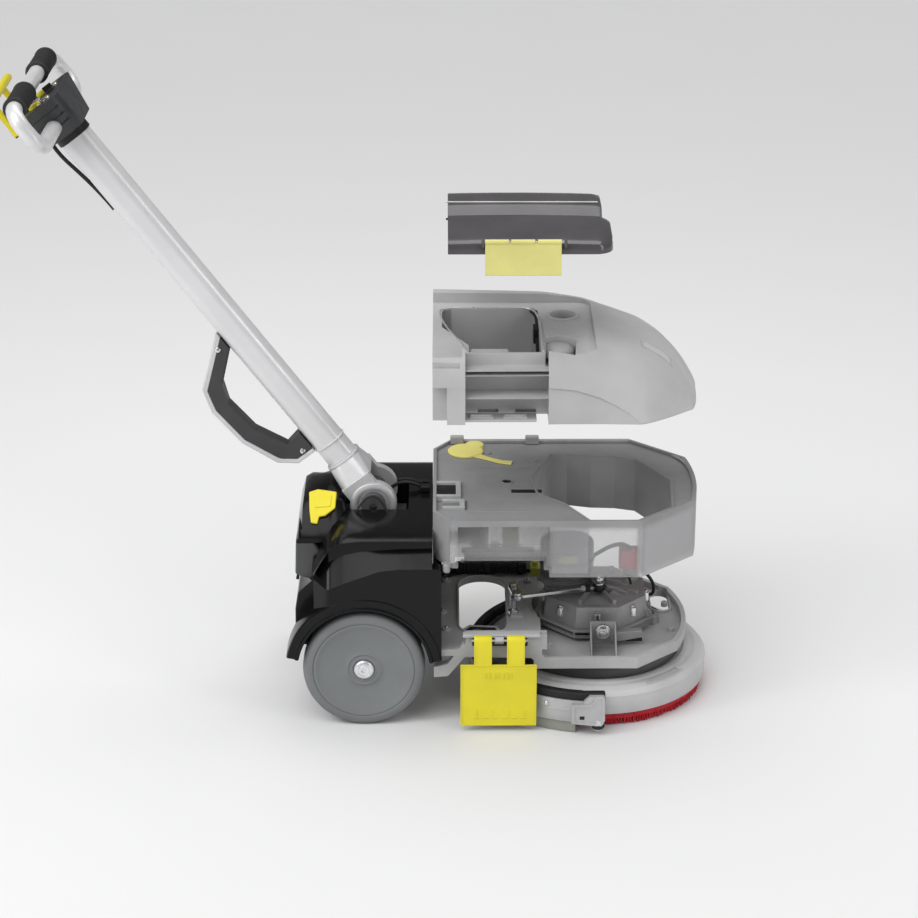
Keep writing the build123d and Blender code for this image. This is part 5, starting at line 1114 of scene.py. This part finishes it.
def on_bar(profile, across, steps):
    """Profile turned round the handlebar at a distance from its middle."""
    spot = Matrix.Translation(mm(*on_handle(GRIP_ALONG, 0, across)))
    return moved(lathe(profile, (0, 0), "Z", steps), spot @ Matrix.Rotation(math.pi / 2, 4, "X"))


def rounded(width, depth, corner, steps=6):
    """Rounded rectangle about the origin."""
    points = []
    for cx, cy, start in ((1, 1, 0), (-1, 1, 90), (-1, -1, 180), (1, -1, 270)):
        for step in range(steps + 1):
            turn = math.radians(start + 90 * step / steps)
            points.append((cx * (width / 2 - corner) + corner * math.cos(turn),
                           cy * (depth / 2 - corner) + corner * math.sin(turn)))
    return points


# collar rings of the tube, and the screws of the carry handle
tube_rings = [(84, 52, 64, 5), (124, 46, 60, 3), (798, 47, 61, 14)]
for number, (along, width, depth, tall) in enumerate(tube_rings):
    ring = carve(prism(rounded(width, depth, 22), 0, tall), prism(rounded(42.4, 56.4, 20), -5, tall + 5))
    slot = ("knuckle_silver", "tube_silver", "inner_black")[number]
    piece("tube_ring_%d" % number, on_tube(ring, along), slot, "handle", bevel=1.0, rounds=3)
for number, along in enumerate((142, 372)):
    for side, name in SIDES:
        screw = carve(lathe([(0, 0), (4.6, 0), (4.6, 1.6), (3, 2.8), (0, 3)], (0, 0), "Z", 28),
                      block((-2.6, -0.5, 1.6), (2.6, 0.5, 5)))
        spot = on_handle(along, 44, side * 15)
        turn = Matrix.Rotation(-side * math.pi / 2, 4, "X")
        piece("carry_screw_%d_%s" % (number, name), moved(screw, Matrix.Translation(mm(*spot)) @ turn),
              "bolt_zinc", "handle", crease=40)

# finger ribs of the carry grip
for number in range(9):
    along = 226 + 7.5 * number
    below = 86.5 + (along - 222) * 0.09
    rib = prism(rounded(24, 3.2, 1.4, 3), -1.3, 1.3)
    piece("grip_rib_%d" % number, on_tube(rib, along, below - 1.0), "grip_dark", "handle", bevel=0.4)

# outer spine of the carry handle, rounded along its run
outer_run = [(132, 30), (131, 64), (152, 90), (216, 115), (289, 121), (329, 109.5), (390, 32)]
spine_section = [(-13, -3), (-15.6, 0), (-14.5, 2.4), (-9, 3.4), (9, 3.4), (14.5, 2.4), (15.6, 0), (13, -3)]
GRIP_MIDDLE = Vector((262, 60))
spine_rings = []
for index, (along, below) in enumerate(outer_run):
    before, after = outer_run[max(index - 1, 0)], outer_run[min(index + 1, len(outer_run) - 1)]
    run = Vector((after[0] - before[0], after[1] - before[1])).normalized()
    outwards = Vector((-run.y, run.x))
    if outwards.dot(Vector((along, below)) - GRIP_MIDDLE) <= 0:
        outwards = -outwards
    spine_rings.append([tuple(on_handle(along + outwards.x * lift, below + outwards.y * lift, across))
                        for across, lift in spine_section])
piece("carry_spine_cover", skin(spine_rings), "spine_silver", "handle", bevel=0.6, crease=50)

# console: display, button rings, vents, and the ribs of the bar's grips
CONSOLE_TOP = TUBE_END + 66
screen = surface("screen_glass", (0.010, 0.016, 0.020), 0.08, variation=0.3, coat=1.0, grain=60).material
bezel = carve(prism(rounded(70, 22, 4), 0, 2.2), prism(rounded(62, 15, 2.5), -2, 5))
piece("display_bezel", on_tube(bezel, CONSOLE_TOP, 26), "inner_black", "handle", bevel=0.6)
piece("display_glass", on_tube(prism(rounded(62.4, 15.4, 2.5), -0.4, 1.0), CONSOLE_TOP, 26), "box_dark",
      "handle", bevel=0.3, look=screen)
for number in range(5):
    bar = prism(rounded(6, 2 + number * 1.6, 0.6, 2), 0.9, 1.3)
    piece("display_bar_%d" % number, on_tube(bar, CONSOLE_TOP, 26, -22 + number * 9), "valve_yellow",
          "handle")
for side, name in SIDES:
    ring = lathe([(12.8, 0), (15.4, 0), (15.0, 2.0), (13.0, 2.0)], (0, 0), "Z", 40)
    piece("button_ring_" + name, on_tube(ring, CONSOLE_TOP, -8, side * 45), "bolt_zinc", "handle",
          crease=40)
    vents = [on_tube(block((-0.8, -34, 0), (0.8, 34, 1.4)), TUBE_END + 20 + 14 * row, 0,
                     side * (68 + 5 * row)) for row in range(3)]
    piece("console_vents_" + name, joined(*vents), "inner_black", "handle", bevel=0.3)
    for end, across in (("in", 70), ("out", 170)):
        tip = [(13.1, -3), (18.4, -3), (19, -1), (19, 2), (18, 3.4), (13.1, 3.4)]
        piece("grip_collar_%s_%s" % (end, name), on_bar(tip, side * across, 48), "grip_rubber", "handle",
              crease=40)
    for number in range(11):
        rib = [(16.4, -1.4), (18.3, -1.0), (18.3, 1.0), (16.4, 1.4)]
        piece("bar_rib_%s_%d" % (name, number), on_bar(rib, side * (80 + 8 * number), 40), "grip_rubber",
              "handle", crease=40)
key_ring = lathe([(9.4, 0), (13, 0), (12.4, 2.6), (9.6, 2.6)], (0, 0), "Z", 40)
piece("key_ring", on_tube(key_ring, CONSOLE_TOP, 16), "bolt_zinc", "handle", crease=40)
cable_run = [(20, 38, 30), (-10, 52, 24), (-60, 38, 12), (-120, 30, 4), (-150, 29, 0)]
cable_run = [tuple(on_handle(TUBE_END + past, below, across)) for past, below, across in cable_run]
rod("console_cable", cable_run, 3.4, "hose_rubber", "handle")

# ========== Studio: floor, light and camera ==========
FLOOR_HALF = 30.0
floor_mesh = bpy.data.meshes.new("studio_floor")
floor_corners = square(-FLOOR_HALF, FLOOR_HALF, -FLOOR_HALF, FLOOR_HALF)
floor_mesh.from_pydata([(x, y, 0) for x, y in floor_corners], [], [(0, 1, 2, 3)])
floor = show("studio_floor", floor_mesh)
floor_look = Shader("studio_paper")
PAPER, PAPER_PALE = (0.70, 0.70, 0.703, 1), (0.715, 0.715, 0.718, 1)
floor_look.link(floor_look.mix(floor_look.noise(3.0, 2.0), PAPER, PAPER_PALE), "Base Color")
floor_look.surface.inputs["Roughness"].default_value = 0.9
floor_look.surface.inputs["Specular IOR Level"].default_value = 0.1
floor_mesh.materials.append(floor_look.material)

MIRRORED_SKY = 0.14           # how bright the room looks in reflections, apart from the lamps
world = bpy.data.worlds.new("studio_air")
bpy.context.scene.world = world
world.use_nodes = True
air = world.node_tree
direction = air.nodes.new("ShaderNodeSeparateXYZ")
air.links.new(air.nodes.new("ShaderNodeTexCoord").outputs["Generated"], direction.inputs[0])
sky = air.nodes.new("ShaderNodeMapRange")
air.links.new(direction.outputs["Z"], sky.inputs["Value"])
for key, value in (("From Min", 0.0), ("From Max", 0.8), ("To Min", 0.30), ("To Max", 0.72)):
    sky.inputs[key].default_value = value
path = air.nodes.new("ShaderNodeLightPath")
seen = air.nodes.new("ShaderNodeMix")
air.links.new(path.outputs["Is Glossy Ray"], seen.inputs[0])
air.links.new(sky.outputs[0], seen.inputs[2])
seen.inputs[3].default_value = MIRRORED_SKY
air.links.new(seen.outputs[0], air.nodes["Background"].inputs["Strength"])
air.nodes["Background"].inputs["Color"].default_value = (1.0, 1.0, 1.0, 1)


def aim(thing, target):
    """Turns a lamp or the camera towards a point."""
    thing.rotation_mode = "QUATERNION"
    thing.rotation_quaternion = (Vector(target) - thing.location).to_track_quat("-Z", "Y")


sun = show("key_sun", bpy.data.lights.new("key_sun", "SUN"))
sun.data.energy = 1.0
sun.data.angle = math.radians(40)
sun.location = (-1.4, -2.4, 4.5)
aim(sun, (0.2, 0, 0.3))


def softbox(name, spot, target, width, height, power):
    """Rectangular lamp, sized in metres."""
    lamp = bpy.data.lights.new(name, "AREA")
    lamp.shape = "RECTANGLE"
    lamp.size, lamp.size_y, lamp.energy = width, height, power
    made = show(name, lamp)
    made.location = spot
    aim(made, target)


softbox("strip_left", (-2.2, -1.2, 1.9), (0.0, 0, 0.3), 0.8, 2.2, 30)
softbox("strip_front", (2.4, -1.8, 1.5), (0.4, 0, 0.4), 0.6, 1.8, 14)
softbox("top_panel", (0.2, 0.7, 3.0), (0.2, 0, 0.3), 2.4, 1.2, 22)

CAMERA_TARGET = Vector((0.1626, 0.0, 0.4171))
CAMERA_AZIMUTH, CAMERA_ELEVATION, CAMERA_DISTANCE = math.radians(-0.3), math.radians(22.0), 4.5
camera = show("camera", bpy.data.cameras.new("camera"))
camera.location = CAMERA_TARGET + CAMERA_DISTANCE * Vector((
    math.sin(CAMERA_AZIMUTH) * math.cos(CAMERA_ELEVATION),
    -math.cos(CAMERA_AZIMUTH) * math.cos(CAMERA_ELEVATION), math.sin(CAMERA_ELEVATION)))
aim(camera, CAMERA_TARGET)
camera.data.lens = 102.6      # millimetres, with a sensor 36 wide
camera.data.sensor_width = 36
camera.data.clip_end = 200
bpy.context.scene.camera = camera
bpy.context.scene.view_settings.view_transform = "Standard"
